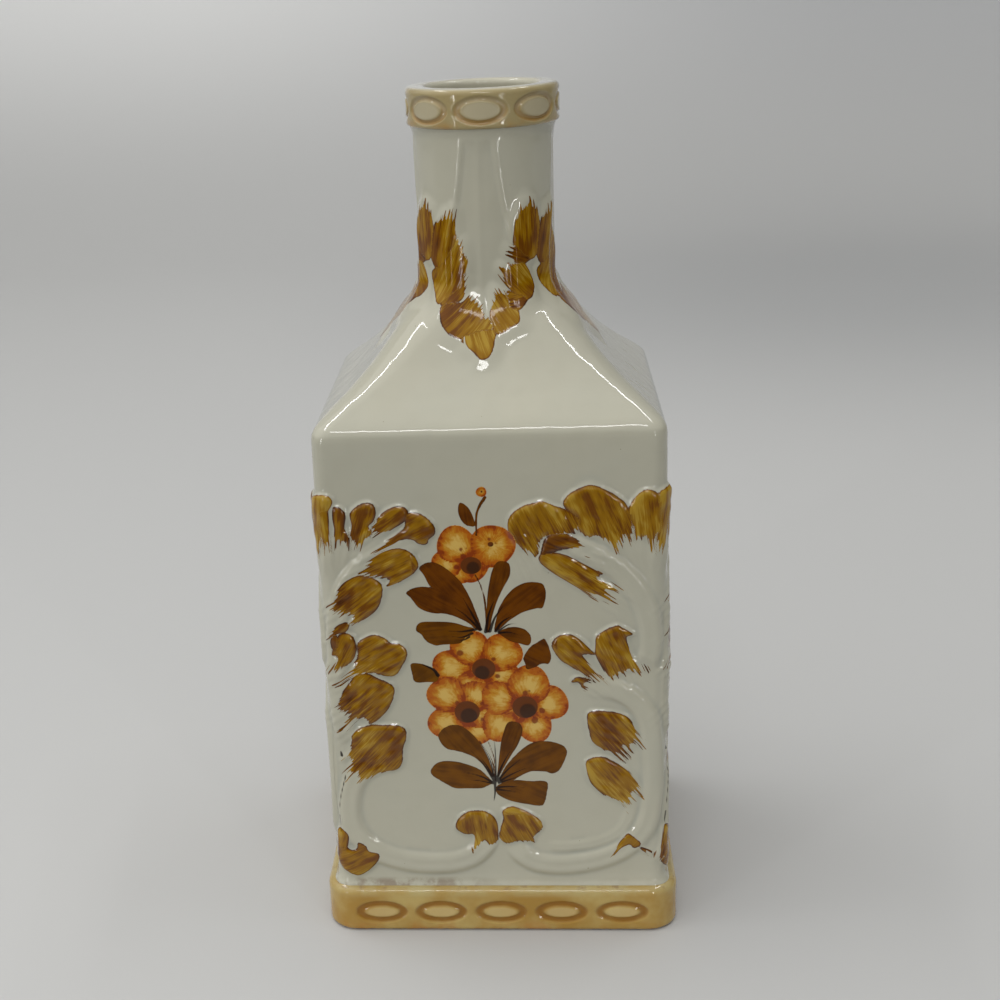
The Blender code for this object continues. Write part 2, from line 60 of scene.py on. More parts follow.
# Ochre strokes on the walls: outline, root, tip and tone. An outline runs x, z, x, z and so on: millimetres
# across the side, measured round its corners, and millimetres up. The tone is pale at 0 and dark at 1.
WALL_STROKES = (
    ((-52, 139, -49.5, 141.2, -46, 141.5, -44.6, 139.5, -46, 136.5, -47, 133, -48, 129, -49, 125,
      -51, 122.5, -52.3, 131.5), (-47.5, 142), (-50.5, 121), 0.12),
    ((-44.5, 138, -42.2, 137.6, -41, 135.5, -41.5, 131.5, -40.3, 129, -41, 125.6, -42.5, 127.2, -44, 127.5,
      -45.8, 124.8, -44.6, 130.5, -44.8, 134.5), (-42.5, 138.5), (-44.5, 124.5), 0.85),
    ((-39.8, 136, -37.5, 138.3, -35, 139.2, -32.9, 138.5, -32.3, 136, -33.2, 133.4, -34.5, 132, -33.5, 130,
      -36, 127.5, -38.4, 124.6, -39.3, 127, -40.2, 129.5, -39.6, 132.5), (-34, 139), (-38.5, 124.5), 0.55),
    ((-32.6, 133.5, -30.5, 136, -27, 137.8, -24, 137.5, -23, 135.6, -24, 133.5, -27, 131.5, -30, 129.8,
      -33.5, 128.8, -34.2, 130.5), (-23.5, 137), (-34.5, 129), 0.75),
    ((-23.8, 135.5, -20.5, 135.8, -17.8, 134.2, -15.8, 131.6, -15.8, 129.3, -17.5, 127.8, -18.2, 126.3,
      -20.5, 126.4, -22.5, 127.8, -26, 127.6, -29, 125.6, -33.4, 124.2, -30.5, 127.3, -27.5, 129.2,
      -24.4, 131.5), (-16.5, 132.5), (-33, 123.8), 0.6),
    ((-33, 123.4, -28.5, 125, -25.5, 125.2, -23, 124, -21.4, 122, -20.9, 119.5, -22.5, 117.3, -26, 115,
      -30.5, 113, -29.4, 115.6, -33.5, 116.4, -38.2, 117.4, -35.5, 120.6), (-21.5, 122), (-36.5, 114.5),
      0.5),
    ((-41, 116, -38, 117.2, -34.5, 116.4, -31.8, 114.2, -31.8, 110.5, -33.5, 106.5, -37.5, 103.2,
      -43.4, 101.2, -40.6, 104.5, -47.2, 105.8, -46.5, 108.5, -45, 111.5, -43.2, 114.4), (-32.5, 114.5),
      (-46.5, 103.5), 0.55),
    ((-47, 99.5, -45.5, 101.6, -43, 102.6, -41.8, 101.4, -43, 99.4, -45, 99, -48.2, 97), (-42, 102.5),
      (-48, 97.5), 0.8),
    ((-46.5, 95.5, -45, 98.7, -42.5, 99, -40.8, 97.5, -40.2, 94, -41.2, 90.6, -44, 88, -48.4, 86.2, -46, 91,
      -47.4, 92.3), (-41.5, 98), (-47.5, 87), 0.7),
    ((-39.8, 95.5, -37.6, 97.4, -34.5, 98.4, -31.5, 97.2, -30, 95.8, -27.5, 95.4, -25.5, 93.6, -25.5, 91.3,
      -27, 88.3, -28.8, 85.6, -31.5, 85, -36.5, 86.2, -40.5, 85, -46.4, 82.8, -42.5, 87.3, -40, 91),
      (-26.5, 94.5), (-44.5, 83.5), 0.45),
    ((-45.2, 79.6, -42.5, 83.6, -40.8, 85.8, -37.5, 86.1, -34.5, 84.6, -30.2, 82.2, -29.8, 79, -32, 74,
      -36.8, 69.4, -40, 71.4, -47.2, 67.9, -43.5, 73, -47, 74.2), (-31, 82.5), (-46, 69), 0.6),
    ((-43, 66, -40.4, 68.2, -37, 69.3, -33.5, 69.2, -29.5, 69.2, -27, 67.7, -26.8, 65, -28, 61, -28.3, 57,
      -30, 54.3, -34.5, 53.2, -41.4, 50.4, -42.5, 53.6, -46.4, 50.4, -43.8, 58, -47, 57, -43.8, 61.5),
      (-29, 68), (-45, 50.5), 0.5),
    ((-49.8, 24, -48.9, 29.5, -46.6, 32.8, -46.8, 30.5, -47, 28.4, -45.4, 26.8, -43.6, 27.6, -43.2, 29.6,
      -41, 28.5, -39.8, 26.4, -37, 25.6, -37.4, 23, -40.2, 19.8, -43.8, 17.9, -47.2, 19.3, -49.6, 21.5),
      (-38, 25), (-62, 12), 0.5),
    ((-13.2, 34.4, -12, 37.7, -9, 40, -5, 40.2, -2.5, 39.1, -0.6, 36.6, -0.2, 33, -0.7, 29.4, -2.6, 28.4,
      -4.4, 30.2, -6.2, 28.6, -8.3, 26.2, -7.6, 31.6, -10.5, 32.2), (-8, 40.5), (-4.5, 22), 0.4),
    ((0.4, 34, 1.4, 37.5, 1.2, 40.2, 4, 41.6, 6.8, 40.7, 10.2, 38.8, 12.9, 36.4, 13, 33.8, 11, 31.8,
      10.4, 29.4, 6, 29.6, 2, 28.9, 0, 31), (4, 41.5), (13, 25), 0.25),
    ((4.9, 131.5, 6, 134.7, 9, 137, 12.5, 138.2, 15, 138.6, 18.2, 137.2, 21.5, 136, 24.5, 133.8,
      25.6, 131.3, 24, 129, 20, 128.4, 16.4, 128.2, 14, 126.5, 13.4, 122.5, 10.8, 123, 8, 125, 5.8, 128),
      (8, 137.5), (15.5, 121.5), 0.42),
    ((14.4, 124.2, 15.5, 127.4, 18.5, 129.2, 22, 128.6, 25, 126.6, 28.4, 123, 23.4, 124.2, 18.5, 123.4,
      14.4, 122), (15, 127.5), (28.4, 122.5), 0.8),
    ((20.8, 137, 21.6, 139.7, 24.5, 141.8, 28.2, 143.1, 31.7, 142.1, 35, 140.2, 38, 137.7, 39.4, 135,
      40.2, 131, 39.6, 124.8, 38.2, 127.6, 36, 121.8, 33.6, 125, 30.6, 127.4, 27.3, 127.6, 25, 130,
      24.4, 133.5), (28, 143), (36, 122), 0.33),
    ((39, 135.5, 40.4, 138.6, 43, 141.1, 45.2, 141.3, 47.2, 140, 48.9, 136.5, 48.6, 132, 48, 126, 46.8, 128,
      45.9, 122.8, 44, 127.2, 41.4, 126.6, 40.4, 130.5, 39.4, 133), (44, 141), (46, 123), 0.3),
    ((49, 137, 50.2, 139.6, 52.4, 138, 52.5, 130.5, 52.2, 124, 50.6, 126.5, 49.2, 132), (51, 140),
      (51.5, 123), 0.3),
    ((13.8, 120.3, 14, 122.6, 16.5, 123.2, 20.5, 122.6, 23.5, 121.2, 27.5, 118.7, 31.4, 116.5, 30.4, 115,
      36.4, 111.2, 33.8, 111, 35.4, 107.9, 30.5, 108.3, 26, 111, 22, 113.8, 17, 117.3), (14, 122.5),
      (35, 108), 0.3),
    ((16.8, 94.3, 18.5, 97.1, 22, 97.7, 24.5, 96.5, 27.2, 93.7, 29.4, 91.1, 25.8, 91.2, 28.4, 87,
      32.4, 80.9, 26.6, 84.4, 22.5, 87.3, 19, 90), (17.5, 96), (31.5, 81.5), 0.5),
    ((22.4, 82.4, 24, 84.2, 28.2, 83.2, 26.4, 82, 26.2, 80, 24.4, 82.4), (22.5, 83.5), (27.5, 80.5), 0.75),
    ((29.4, 94.5, 30, 97.2, 32.5, 99.1, 35.5, 100.3, 37.4, 99.5, 40.4, 97.4, 38.4, 96.6, 39.2, 93,
      40.6, 89.8, 44.6, 85.4, 39.9, 85.4, 36.4, 84.6, 33.4, 83.2, 31.4, 87, 29.5, 91), (34, 100),
      (41.5, 84), 0.5),
    ((26.8, 71.5, 28.5, 73.2, 32.5, 73.1, 36.6, 72.2, 39.2, 70.6, 40.8, 67.6, 43.7, 60.9, 40.8, 63.4,
      39.6, 59.4, 37.6, 61.6, 38.4, 56.4, 34.4, 59, 31, 60.7, 28.3, 63, 27.4, 66.5), (29, 73), (40.5, 58.5),
      0.55),
    ((26.3, 56, 28, 57.7, 31.5, 58.1, 35, 56.2, 39, 53.1, 42, 49, 43, 44.9, 40.7, 46.6, 39.7, 39.8,
      36.3, 43, 32, 45, 29.3, 47.5, 27.3, 50.5), (27.5, 57.5), (40.5, 41), 0.35),
    ((33.8, 24.3, 35.3, 28, 37.3, 30.7, 39, 32.2, 42.2, 29.6, 42.2, 28.2, 40.5, 27.5, 39, 28.6, 36.5, 27.3),
      (39.5, 31.5), (34, 24), 0.5),
    ((42.2, 27.9, 45, 26.2, 45.4, 24.8, 43, 26.2), (42, 28), (45.5, 25), 0.8),
    ((49.6, 34, 52.4, 32.5, 52.2, 28.5, 50.5, 22.8, 47.6, 22.8, 47, 24.5, 48.5, 28), (51, 33), (48.5, 22.5),
      0.5),
    ((51, 96, 52.4, 99, 53.6, 95, 52, 91.5), (52, 98.5), (52.5, 91), 0.6),
)
# White scroll bands: centre line, half width and height, in millimetres.
WALL_BANDS = (
    ((-18, 128, -27, 125, -36, 120.5, -42.5, 113, -45.6, 102, -46.6, 88, -46.4, 74, -44.5, 62), 3.6, 0.85),
    ((-33, 57, -39.5, 54.5, -43.6, 49.5, -45.3, 42.5, -44.8, 35.5, -41.5, 29.5, -36, 25.3, -29, 22.8,
      -21.5, 21.9, -14, 22.3, -8, 24.6, -4.2, 28.8, -3, 33), 3.9, 1.15),
    ((21, 127, 29, 122, 36.5, 117, 42, 110, 45, 101.5, 45.6, 93, 43.5, 87), 3.7, 1),
    ((27, 80.5, 34, 80, 40.5, 76.5, 44.8, 69.5, 46.4, 58, 46.4, 46, 44.3, 35, 38.5, 27.5, 30.5, 23.3,
      21, 21.4, 12, 22, 6.3, 25.5, 3.6, 30.5), 3.7, 1.1),
    ((34.5, 52, 38.8, 47, 39.6, 40, 36.6, 33.2, 30.5, 29.3, 22, 27.6, 14, 27.6), 2, 0.45),
)
LOBE_HEIGHT = 1.25                           # millimetres, and so are the sizes that follow
LOBE_SHOULDER = 2.0                          # how far in from its edge a lobe reaches its full height
LOBE_SWELL = 0.7                             # how far the clay lobe reaches past its paint
LOBE_TAPER = 0.55                            # the share of its height that a lobe loses by its tip
LOBE_RIDGE = 0.26
LOBE_RIDGE_SPACING = 2.9
RIDGE_SWAY, RIDGE_WOBBLE = 0.5, 0.6          # how far a ridge strays along the lobe and across it
RIDGE_LEAST = 0.35                           # the share of its height that a ridge keeps between its swells
GRAIN_SHIFT, GRAIN_TURN = 7.3, 1.7           # set the streaks of one stroke apart from the next one's
WALL_RIBS = 0.36                             # combed into the clay beyond the tips of the strokes
RIB_SPACING = 2.1
RIB_REACH = 8.0
RIBS_FROM = 75.0                             # the foot scrolls are left smooth
RIB_START = 0.6                              # as a share of the stroke's length and of its half width
BAND_GROOVES = 0.12
BAND_SEAT, BAND_SEAT_WIDTH = 0.22, 0.7       # the tool's line beside a band
BAND_RISEN, BAND_FADES = 0.10, 0.93          # as shares of the band's length
FOOT_FILLET = 1.5
FOOT_FILLET_RISE = 1.3
FAR_OFF = 9.0                                # the distance given to what no brush has touched
PAINTS = ("ochre", "petal", "leaf", "ink", "disc", "dot")
READINGS = ("grain_across", "grain_along", "dry", "tone", "petal_share", "petal_root", "leaf_tone")


def flowing(points, closed, steps=4):
    """A smooth curve through the points, as a painter's or a carver's hand would run it."""
    known = np.array(points, float).reshape(-1, 2)
    if closed:
        known = np.vstack([known[-1:], known, known[:2]])
    else:
        known = np.vstack([2 * known[:1] - known[1:2], known, 2 * known[-1:] - known[-2:-1]])
    before, start, end, after = known[:-3], known[1:-2], known[2:-1], known[3:]
    shares = np.linspace(0, 1, steps, endpoint=False)[:, None, None]
    curve = 0.5 * (2 * start + (end - before) * shares
                   + (2 * before - 5 * start + 4 * end - after) * shares**2
                   + (3 * start - before - 3 * end + after) * shares**3)
    run = curve.transpose(1, 0, 2).reshape(-1, 2)
    return run if closed else np.vstack([run, known[-2]])


def off_line(line, across, up):
    """Distance of each place from a line of points, and how far along the line its nearest spot lies."""
    nearest = np.full(across.shape, np.inf)
    along = np.zeros(across.shape)
    steps = np.diff(line, axis=0)
    lengths = np.hypot(steps[:, 0], steps[:, 1])
    run = np.concatenate([[0.0], np.cumsum(lengths)])
    for (x, z), (step_x, step_z), length, walked in zip(line, steps, lengths, run):
        share = ((across - x) * step_x + (up - z) * step_z) / max(length * length, 1e-9)
        share = np.clip(share, 0.0, 1.0)
        distance = np.hypot(across - x - share * step_x, up - z - share * step_z)
        closer = distance < nearest
        nearest = np.where(closer, distance, nearest)
        along = np.where(closer, walked + share * length, along)
    return nearest, along / max(run[-1], 1e-9)


def inside(outline, across, up):
    """Distance inside a closed outline, below nought outside it."""
    line = np.vstack([outline, outline[:1]])
    distance, _ = off_line(line, across, up)
    crossed = np.zeros(across.shape, bool)
    for (x, z), (next_x, next_z) in zip(line, line[1:]):
        if z == next_z:
            continue
        spans = (z > up) != (next_z > up)
        crossed ^= spans & (across < x + (up - z) * (next_x - x) / (next_z - z))
    return np.where(crossed, distance, -distance)


def brush_run(root, way, across, up):
    """How far each place lies along a brush stroke from its root, and how far aside of it."""
    off_x, off_z = across - root[0], up - root[1]
    return off_x * way[0] + off_z * way[1], off_x * way[1] - off_z * way[0]


def smooth_step(value, low, high):
    share = np.clip((value - low) / (high - low), 0.0, 1.0)
    return share * share * (3 - 2 * share)


def fading(value, low, high):
    return 1 - smooth_step(value, low, high)


class Ornament:
    """What the modeller and the painter left at each place of a panel, in millimetres: the height of the
    relief, and how far inside a stroke, petal, leaf or line the place lies."""

    def __init__(self, columns, rows, period):
        self.columns, self.rows, self.period = columns, rows, period
        shape = (len(rows), len(columns))
        self.height = np.zeros(shape)
        self.marks = {name: np.full(shape, -FAR_OFF) for name in PAINTS}
        self.marks.update((name, np.zeros(shape)) for name in READINGS)

    def near(self, points, margin):
        """The stretch of the panel round some points, once for each side of it that they fall on."""
        low, high = np.min(points, axis=0) - margin, np.max(points, axis=0) + margin
        top, bottom = np.searchsorted(self.rows, (low[1], high[1]))
        for shift in (-self.period, 0.0, self.period):
            left, right = np.searchsorted(self.columns, (low[0] + shift, high[0] + shift))
            if right > left and bottom > top:
                across, up = np.meshgrid(self.columns[left:right] - shift, self.rows[top:bottom])
                yield (slice(top, bottom), slice(left, right)), across, up

    def lay(self, name, window, value, **beside):
        """Keeps the larger of what is there and the new value, and the readings that go with it."""
        here = self.marks[name][window]
        wins = value > here
        here[wins] = value[wins]
        for other, reading in beside.items():
            self.marks[other][window][wins] = np.broadcast_to(reading, wins.shape)[wins]

    def stroke(self, outline, root, tip, tone, height, ragged=1.0, ribs=0.0, ridge=LOBE_RIDGE):
        """A raised lobe with the ochre brushed over it from root to tip. Its place and its tone set how its
        streaks, ridges and ribs fall, so that no two strokes are alike."""
        corners = np.reshape(outline, (-1, 2))
        curve = flowing(corners, True)
        way = np.subtract(tip, root)
        length = np.hypot(*way)
        way = way / length
        offset = GRAIN_SHIFT * (corners[0, 0] + GRAIN_TURN * corners[0, 1])
        half = np.abs(brush_run(root, way, *curve.T)[1]).max()
        for window, across, up in self.near(curve, RIB_REACH):
            depth = inside(curve, across, up)
            along, aside = brush_run(root, way, across, up)
            dry = np.clip(along / length, 0.0, 1.0)
            self.lay("ochre", window, depth, grain_across=aside + offset, grain_along=along + offset,
                     dry=dry * ragged, tone=tone)
            rise = np.clip((depth + LOBE_SWELL) / LOBE_SHOULDER, 0.0, 1.0)
            crown = np.sin(rise * math.pi / 2) ** 0.9
            strayed = aside + RIDGE_SWAY * np.sin(0.55 * along + 3.0 * tone)
            strayed += RIDGE_WOBBLE * np.sin(1.3 * aside + 5.0 * tone)
            ridges = np.abs(np.cos(math.pi * strayed / LOBE_RIDGE_SPACING + tone * 9.0))
            ridges = ridge * (2 * ridges - 1.0)
            swells = np.sin(0.9 * along + 2.0 * np.sin(aside) + 11.0 * tone)
            ridges *= RIDGE_LEAST + (1 - RIDGE_LEAST) * swells
            lobe = (height * (1 - LOBE_TAPER * dry**1.5) + ridges * rise) * crown
            ribbed = smooth_step(along, RIB_START * length, length)
            ribbed *= fading(along, length + 1.0, length + RIB_REACH)
            ribbed *= fading(np.abs(aside), RIB_START * half, half) * fading(depth, -0.8, 0.2)
            comb = ribs * ribbed * np.abs(np.cos(math.pi * aside / RIB_SPACING + tone * 5.0))
            self.height[window] = np.maximum(self.height[window] + comb, lobe)

    def band(self, line, half_width, height):
        """A round band with a groove down each side of its crown, faded at both ends."""
        curve = flowing(line, False)
        for window, across, up in self.near(curve, half_width + 2.0):
            distance, along = off_line(curve, across, up)
            fade = smooth_step(along, 0.0, BAND_RISEN) * fading(along, BAND_FADES, 1.0)
            round_top = np.sqrt(np.clip(1 - (distance / half_width) ** 2, 0.0, 1.0))
            grooves = BAND_GROOVES * (distance < half_width) * np.cos(2 * math.pi * distance / half_width)
            worked = (height * round_top - grooves) * fade
            self.height[window] = np.maximum(self.height[window], worked)
            seat = BAND_SEAT * fade * np.exp(-(((distance - half_width) / BAND_SEAT_WIDTH) ** 2))
            self.height[window] -= seat * (self.height[window] < 0.6 * height)

    def soften(self, times):
        """Runs the glaze over the relief, so that nothing on it stays sharp."""
        for _ in range(times):
            for axis in (0, 1):
                before = np.roll(self.height, 1, axis)
                after = np.roll(self.height, -1, axis)
                self.height = (before + 2 * self.height + after) / 4

    def hollows(self, times):
        """How far each place lies below what surrounds it: where coloured glaze gathers, and where painted
        shade darkens the white glaze.
        """
        spread = self.height.copy()
        for _ in range(times):
            for axis in (0, 1):
                spread = (np.roll(spread, 1, axis) + spread + np.roll(spread, -1, axis)) / 3
        self.marks["hollow"] = spread - self.height


# The bouquet, brushed on the middle of a side. A flower is its heart's place and half sizes, the heart's
# shade, then its petals in the order they were laid and its dots, each a place and a radius. A leaf is its
# outline and how olive it is. A line is its points, and half its width at the start and at the end.
FLOWERS = (
    ((-5.8, 119.3, 3.1, 2.7), (-5.2, 118.6, 1.9), ((-9.2, 117.6, 3.6), (-12.7, 119.9, 4),
      (-9.8, 125.8, 5.1)), ((-8.5, 124.2, 0.7), (-8, 122.2, 0.9), (-9.9, 118.9, 0.8), (-7, 124.6, 0.4))),
    ((0, 125.7, 0.9, 0.8), (0.4, 125.2, 0.3), ((0.6, 125.2, 5.8),), ((-0.4, 127.3, 0.5), (1.4, 126, 0.3))),
    ((-2.1, 141.6, 0.4, 0.4), (-2.1, 141.3, 0.2), ((-2.2, 141.5, 1.4),), ()),
    ((-3.1, 86.8, 3.5, 3.4), (-3.6, 85.6, 2.2), ((-12.4, 87.4, 5.2), (-6.3, 81.4, 4.5), (1.8, 85.2, 4.8),
      (-7, 93.6, 5.1), (2.3, 91.8, 5.4)), ((-0.2, 89.9, 0.8), (0.9, 84.4, 0.8), (-9.9, 92, 1.1),
      (-1, 91.2, 0.4), (-7.4, 88.4, 0.6))),
    ((-8.4, 72.9, 3.8, 3.6), (-7.9, 71.6, 2.5), ((-5.3, 67.1, 4.4), (-4.6, 72, 4), (-14.6, 69.4, 5),
      (-5.6, 78, 4.5), (-14.3, 78.6, 5.2)), ((-11.2, 75.9, 0.9), (-4, 75.6, 0.7), (-4, 70.4, 0.7),
      (-8, 78, 0.4), (-12.6, 72.2, 0.4))),
    ((8.7, 74.3, 3.8, 3.6), (9.5, 73, 2.4), ((1.3, 68.6, 5), (11.4, 67.9, 4.7), (1.2, 77.4, 4.9),
      (16, 75.6, 5), (10, 81.6, 5.6)), ((8.8, 78.7, 1), (8, 77.2, 0.6), (13.6, 73.2, 1.1), (11.5, 70, 1.1),
      (10.1, 79.6, 0.5), (5, 77, 0.5))),
)
LEAVES = (
    ((-20.7, 119, -17.5, 120.6, -13.5, 119, -9, 114.5, -6.5, 109.5, -4.5, 104, -3.3, 99.3, -4.5, 99.6,
      -6.5, 103, -10, 107.5, -14.5, 111, -17.8, 113, -19.5, 116.5), 0),
    ((-24.8, 111.3, -22, 112.8, -18, 112.8, -13, 110.5, -9, 107, -5.5, 102, -3.5, 99.3, -4.5, 99, -8, 102,
      -13, 104.3, -18, 104.8, -21.5, 106.5, -23.5, 109.5), 0.05),
    ((1.5, 120, 3.5, 120.5, 5.2, 119.5, 5.3, 116.5, 4, 113.5, 2, 109.5, 0, 104, -1, 99, -1.8, 98.3,
      -2.2, 100, -1.8, 106, -1.2, 111, 0, 117), 0.2),
    ((0.3, 99, 1.5, 105, 3.5, 109, 6.5, 112.3, 10.5, 114, 14.2, 113.5, 15.2, 112, 15.4, 109.5, 14.5, 106,
      12.5, 105.7, 9, 104.7, 5, 102.2, 2, 99.5), 0.05),
    ((-22.5, 99.5, -21.3, 101.8, -17.5, 102.1, -12, 101.7, -8, 100.5, -5.5, 99.5, -8.5, 96.5, -10, 95,
      -15, 94.6, -17, 94.4, -19.5, 95.8, -21, 98), 0.6),
    ((1.5, 98.6, 4, 99.8, 7, 99.9, 9.7, 98.8, 11, 96.5, 10.3, 94.2, 7.5, 94.8, 5, 95.5, 2.5, 97.2), 0.25),
    ((-24.5, 88.8, -21, 88.6, -18, 87, -16.3, 84.8, -17.2, 82.8, -20.5, 82.7, -23.5, 82.9, -24.2, 85.5), 1),
    ((15, 96, 16.6, 91.5, 16, 88.3, 14, 88.3, 11.5, 87, 9.5, 86.6, 9, 88.5, 8.6, 90.5, 10.5, 93.5,
      13, 95.3), 0.15),
    ((-17.3, 65.5, -15, 68, -12, 68.7, -9, 67.5, -5.5, 63.5, -3, 58.5, -1.3, 53, -1, 51.5, -2, 51.5, -4, 55,
      -7, 58, -11, 59.8, -14.5, 60.6, -16.5, 62.5), 0.75),
    ((-20, 52.5, -18.7, 55.5, -16, 56.7, -11, 56.2, -6, 54.3, -3, 51.5, -1.5, 49.3, -3, 48.3, -5, 47.5,
      -9, 47.4, -13, 47.5, -16, 49.3), 0.85),
    ((3.5, 69.3, 6.5, 69.3, 7.8, 67, 6.5, 62.5, 4, 58, 1.5, 53.5, 0, 51, 0.3, 56, 1, 61, 2, 65.5), 0.5),
    ((0.5, 50.5, 3, 55.5, 6.5, 59.5, 10, 62.3, 14, 63.2, 18.5, 62.3, 20.8, 60, 20, 56.5, 18.5, 53.5,
      16.5, 52.3, 14, 53, 10, 53, 6, 51, 3, 48.8), 0.7),
    ((-0.5, 48, 2, 49.5, 6, 50.2, 10, 49.8, 14.7, 49.5, 14.5, 45, 13.2, 41.5, 9, 42, 4, 43, 1, 44.5,
      -0.5, 46), 0.8),
    ((-8.5, 138.3, -8.9, 135, -7.3, 132, -5.5, 131.2, -4.2, 131.5, -5, 135, -6.5, 137.5), 0.1),
)
FLOWER_GROUND = 1.7                          # the paint under a heart, as a share of the heart's half height
PETAL_SWELL = 1.12
PETAL_WAVE = 0.04                            # how far a petal's rim strays from a circle
PETAL_STREAKS = 11.0                         # how close the streaks lie round a heart
BOUQUET_FOOT = (-0.8, 50.0)
BOUQUET_WAIST = (-1.8, 99.0)
WAIST_LEAVES_FROM = 72.0
BRUSH_MARGIN, LINE_MARGIN = 2.0, 1.5
STEMS = (
    ((-4, 128.5, -3.8, 134, -3, 137, -1.2, 139.8), 0.26, 0.5),
    ((-4.7, 116.5, -3.2, 113, -2.2, 108.5, -2, 104, -1.9, 99.5), 0.2, 0.28),
    ((-0.7, 50, -0.8, 57, -2.6, 63.6), 0.2, 0.16),
    ((-0.6, 50, -1.6, 57, -5, 63.2), 0.2, 0.16),
)
INK_LINES = (
    ((-3.6, 99.4, -5.6, 103.5, -8.5, 109.5), 0.5, 0.1),
    ((-3.8, 99.2, -7.6, 103.6, -12, 107.2), 0.4, 0.1),
    ((-2.2, 98.6, -1.2, 104, 0.4, 108), 0.55, 0.12),
    ((-1, 98.8, 0.6, 103, 3, 106.5), 0.55, 0.12),
    ((0.7, 98.8, 2.6, 101.6, 5.6, 103.5), 0.5, 0.12),
    ((1.5, 98.8, 4.5, 100.8, 7, 101), 0.35, 0.12),
    ((-5, 99.4, -9, 98.8, -13, 99), 0.45, 0.1),
    ((-6, 98.2, -9, 97, -12, 97.2), 0.4, 0.1),
    ((-7, 97, -9, 96, -11.5, 96), 0.35, 0.1),
    ((1.6, 98.2, 4.5, 98.4, 7, 97.6), 0.4, 0.1),
    ((-21, 88.4, -17.9, 86.8, -16.6, 84.9), 0.2, 0.6),
    ((-1, 50, -2, 56.5, -5, 63), 0.3, 0.14),
    ((-0.6, 50, -0.4, 57, -0.7, 64), 0.3, 0.14),
    ((-1.2, 50.2, -4.2, 55.6, -8, 60.5), 0.4, 0.1),
    ((-1, 49.6, -2.8, 54.5, -5.4, 58.4), 0.4, 0.1),
    ((-1.4, 49.4, -5, 51.5, -10, 53), 0.4, 0.1),
    ((-1.4, 49, -5.5, 50, -9.5, 50.4), 0.3, 0.1),
    ((-0.3, 50.4, 1.4, 55, 4, 60), 0.45, 0.1),
    ((0, 50, 3, 53.6, 7, 57.2), 0.42, 0.1),
    ((0.2, 49.6, 4, 52, 8.5, 54.2), 0.4, 0.1),
    ((0.3, 49.2, 3.6, 50.4, 7, 51.6), 0.35, 0.1),
    ((0, 47.8, 3.6, 48, 8, 47.6), 0.35, 0.1),
    ((-0.2, 47, 3, 46.6, 6.5, 45.8), 0.35, 0.1),
    ((-0.8, 51, -0.9, 46, -1.3, 43.2), 0.55, 0.15),
    ((-45.7, 52.5, -47.2, 46, -48, 41), 0.22, 0.18),
    ((-48.1, 38.6, -48.2, 36, -47.9, 33.2), 0.28, 0.2),
    ((-46.6, 58.9, -46.8, 60), 0.5, 0.3),
)


def paint_flower(panel, heart, shade, petals, dots):
    x, z, half_across, half_up = heart
    dim_x, dim_z, dim = shade
    under_heart = ((x, z, FLOWER_GROUND * half_up),) if dots else ()
    for petal_x, petal_z, radius in under_heart + petals:
        radius *= PETAL_SWELL
        spread = ((petal_x - radius, petal_z - radius), (petal_x + radius, petal_z + radius))
        for window, across, up in panel.near(spread, BRUSH_MARGIN):
            distance = np.hypot(across - petal_x, up - petal_z)
            wave = PETAL_WAVE * np.sin(3 * np.arctan2(up - petal_z, across - petal_x) + petal_x)
            lobed = radius * (1 + wave)
            under = distance < lobed
            from_heart = np.hypot(across - x, up - z)
            around = PETAL_STREAKS * np.arctan2(up - z, across - x)
            for mark, reading in (("petal_share", distance / lobed), ("petal_root", from_heart - half_up),
                                  ("grain_across", around), ("grain_along", from_heart)):
                panel.marks[mark][window][under] = reading[under]
            panel.lay("petal", window, lobed - distance)
    spread = ((x - half_across, z - half_up), (x + half_across, z + half_up))
    for window, across, up in panel.near(spread, BRUSH_MARGIN):
        round_share = np.hypot((across - x) / half_across, (up - z) / half_up)
        panel.lay("disc", window, (1 - round_share) * half_up,
                  tone=smooth_step(dim - np.hypot(across - dim_x, up - dim_z), -0.3, 0.3))
    for dot_x, dot_z, radius in dots:
        for window, across, up in panel.near(((dot_x, dot_z), (dot_x, dot_z)), BRUSH_MARGIN):
            panel.lay("dot", window, radius - np.hypot(across - dot_x, up - dot_z))


def paint_bouquet(panel):
    for flower in FLOWERS:
        paint_flower(panel, *flower)
    for outline, olive in LEAVES:
        curve = flowing(outline, True)
        middle = curve.mean(axis=0)
        root = BOUQUET_FOOT if middle[1] < WAIST_LEAVES_FROM else BOUQUET_WAIST
        way = (middle - root) / np.hypot(*(middle - root))
        for window, across, up in panel.near(curve, BRUSH_MARGIN):
            along, aside = brush_run(root, way, across, up)
            panel.lay("leaf", window, inside(curve, across, up), leaf_tone=olive,
                      grain_across=aside, grain_along=along)
    for paint, lines in (("leaf", STEMS), ("ink", INK_LINES)):
        for line, start, end in lines:
            curve = flowing(line, False)
            for window, across, up in panel.near(curve, LINE_MARGIN):
                distance, along = off_line(curve, across, up)
                panel.lay(paint, window, start + (end - start) * along - distance)


def even_steps(*stretches):
    """Places along a line, from stretches of first place, last place and step."""
    runs = [np.linspace(low, high, max(round((high - low) / step), 1), endpoint=False)
            for low, high, step in stretches]
    return np.concatenate([*runs, [stretches[-1][1]]])


def normals_of(grid):
    """The way the surface faces at each point of a grid, apart from the grid's outermost points."""
    across = grid[1:-1, 2:] - grid[1:-1, :-2]
    up = grid[2:, 1:-1] - grid[:-2, 1:-1]
    facing = np.cross(across, up)
    return facing / np.linalg.norm(facing, axis=2, keepdims=True)


def placed(name, data):
    made = bpy.data.objects.new(name, data)
    bpy.context.scene.collection.objects.link(made)
    return made


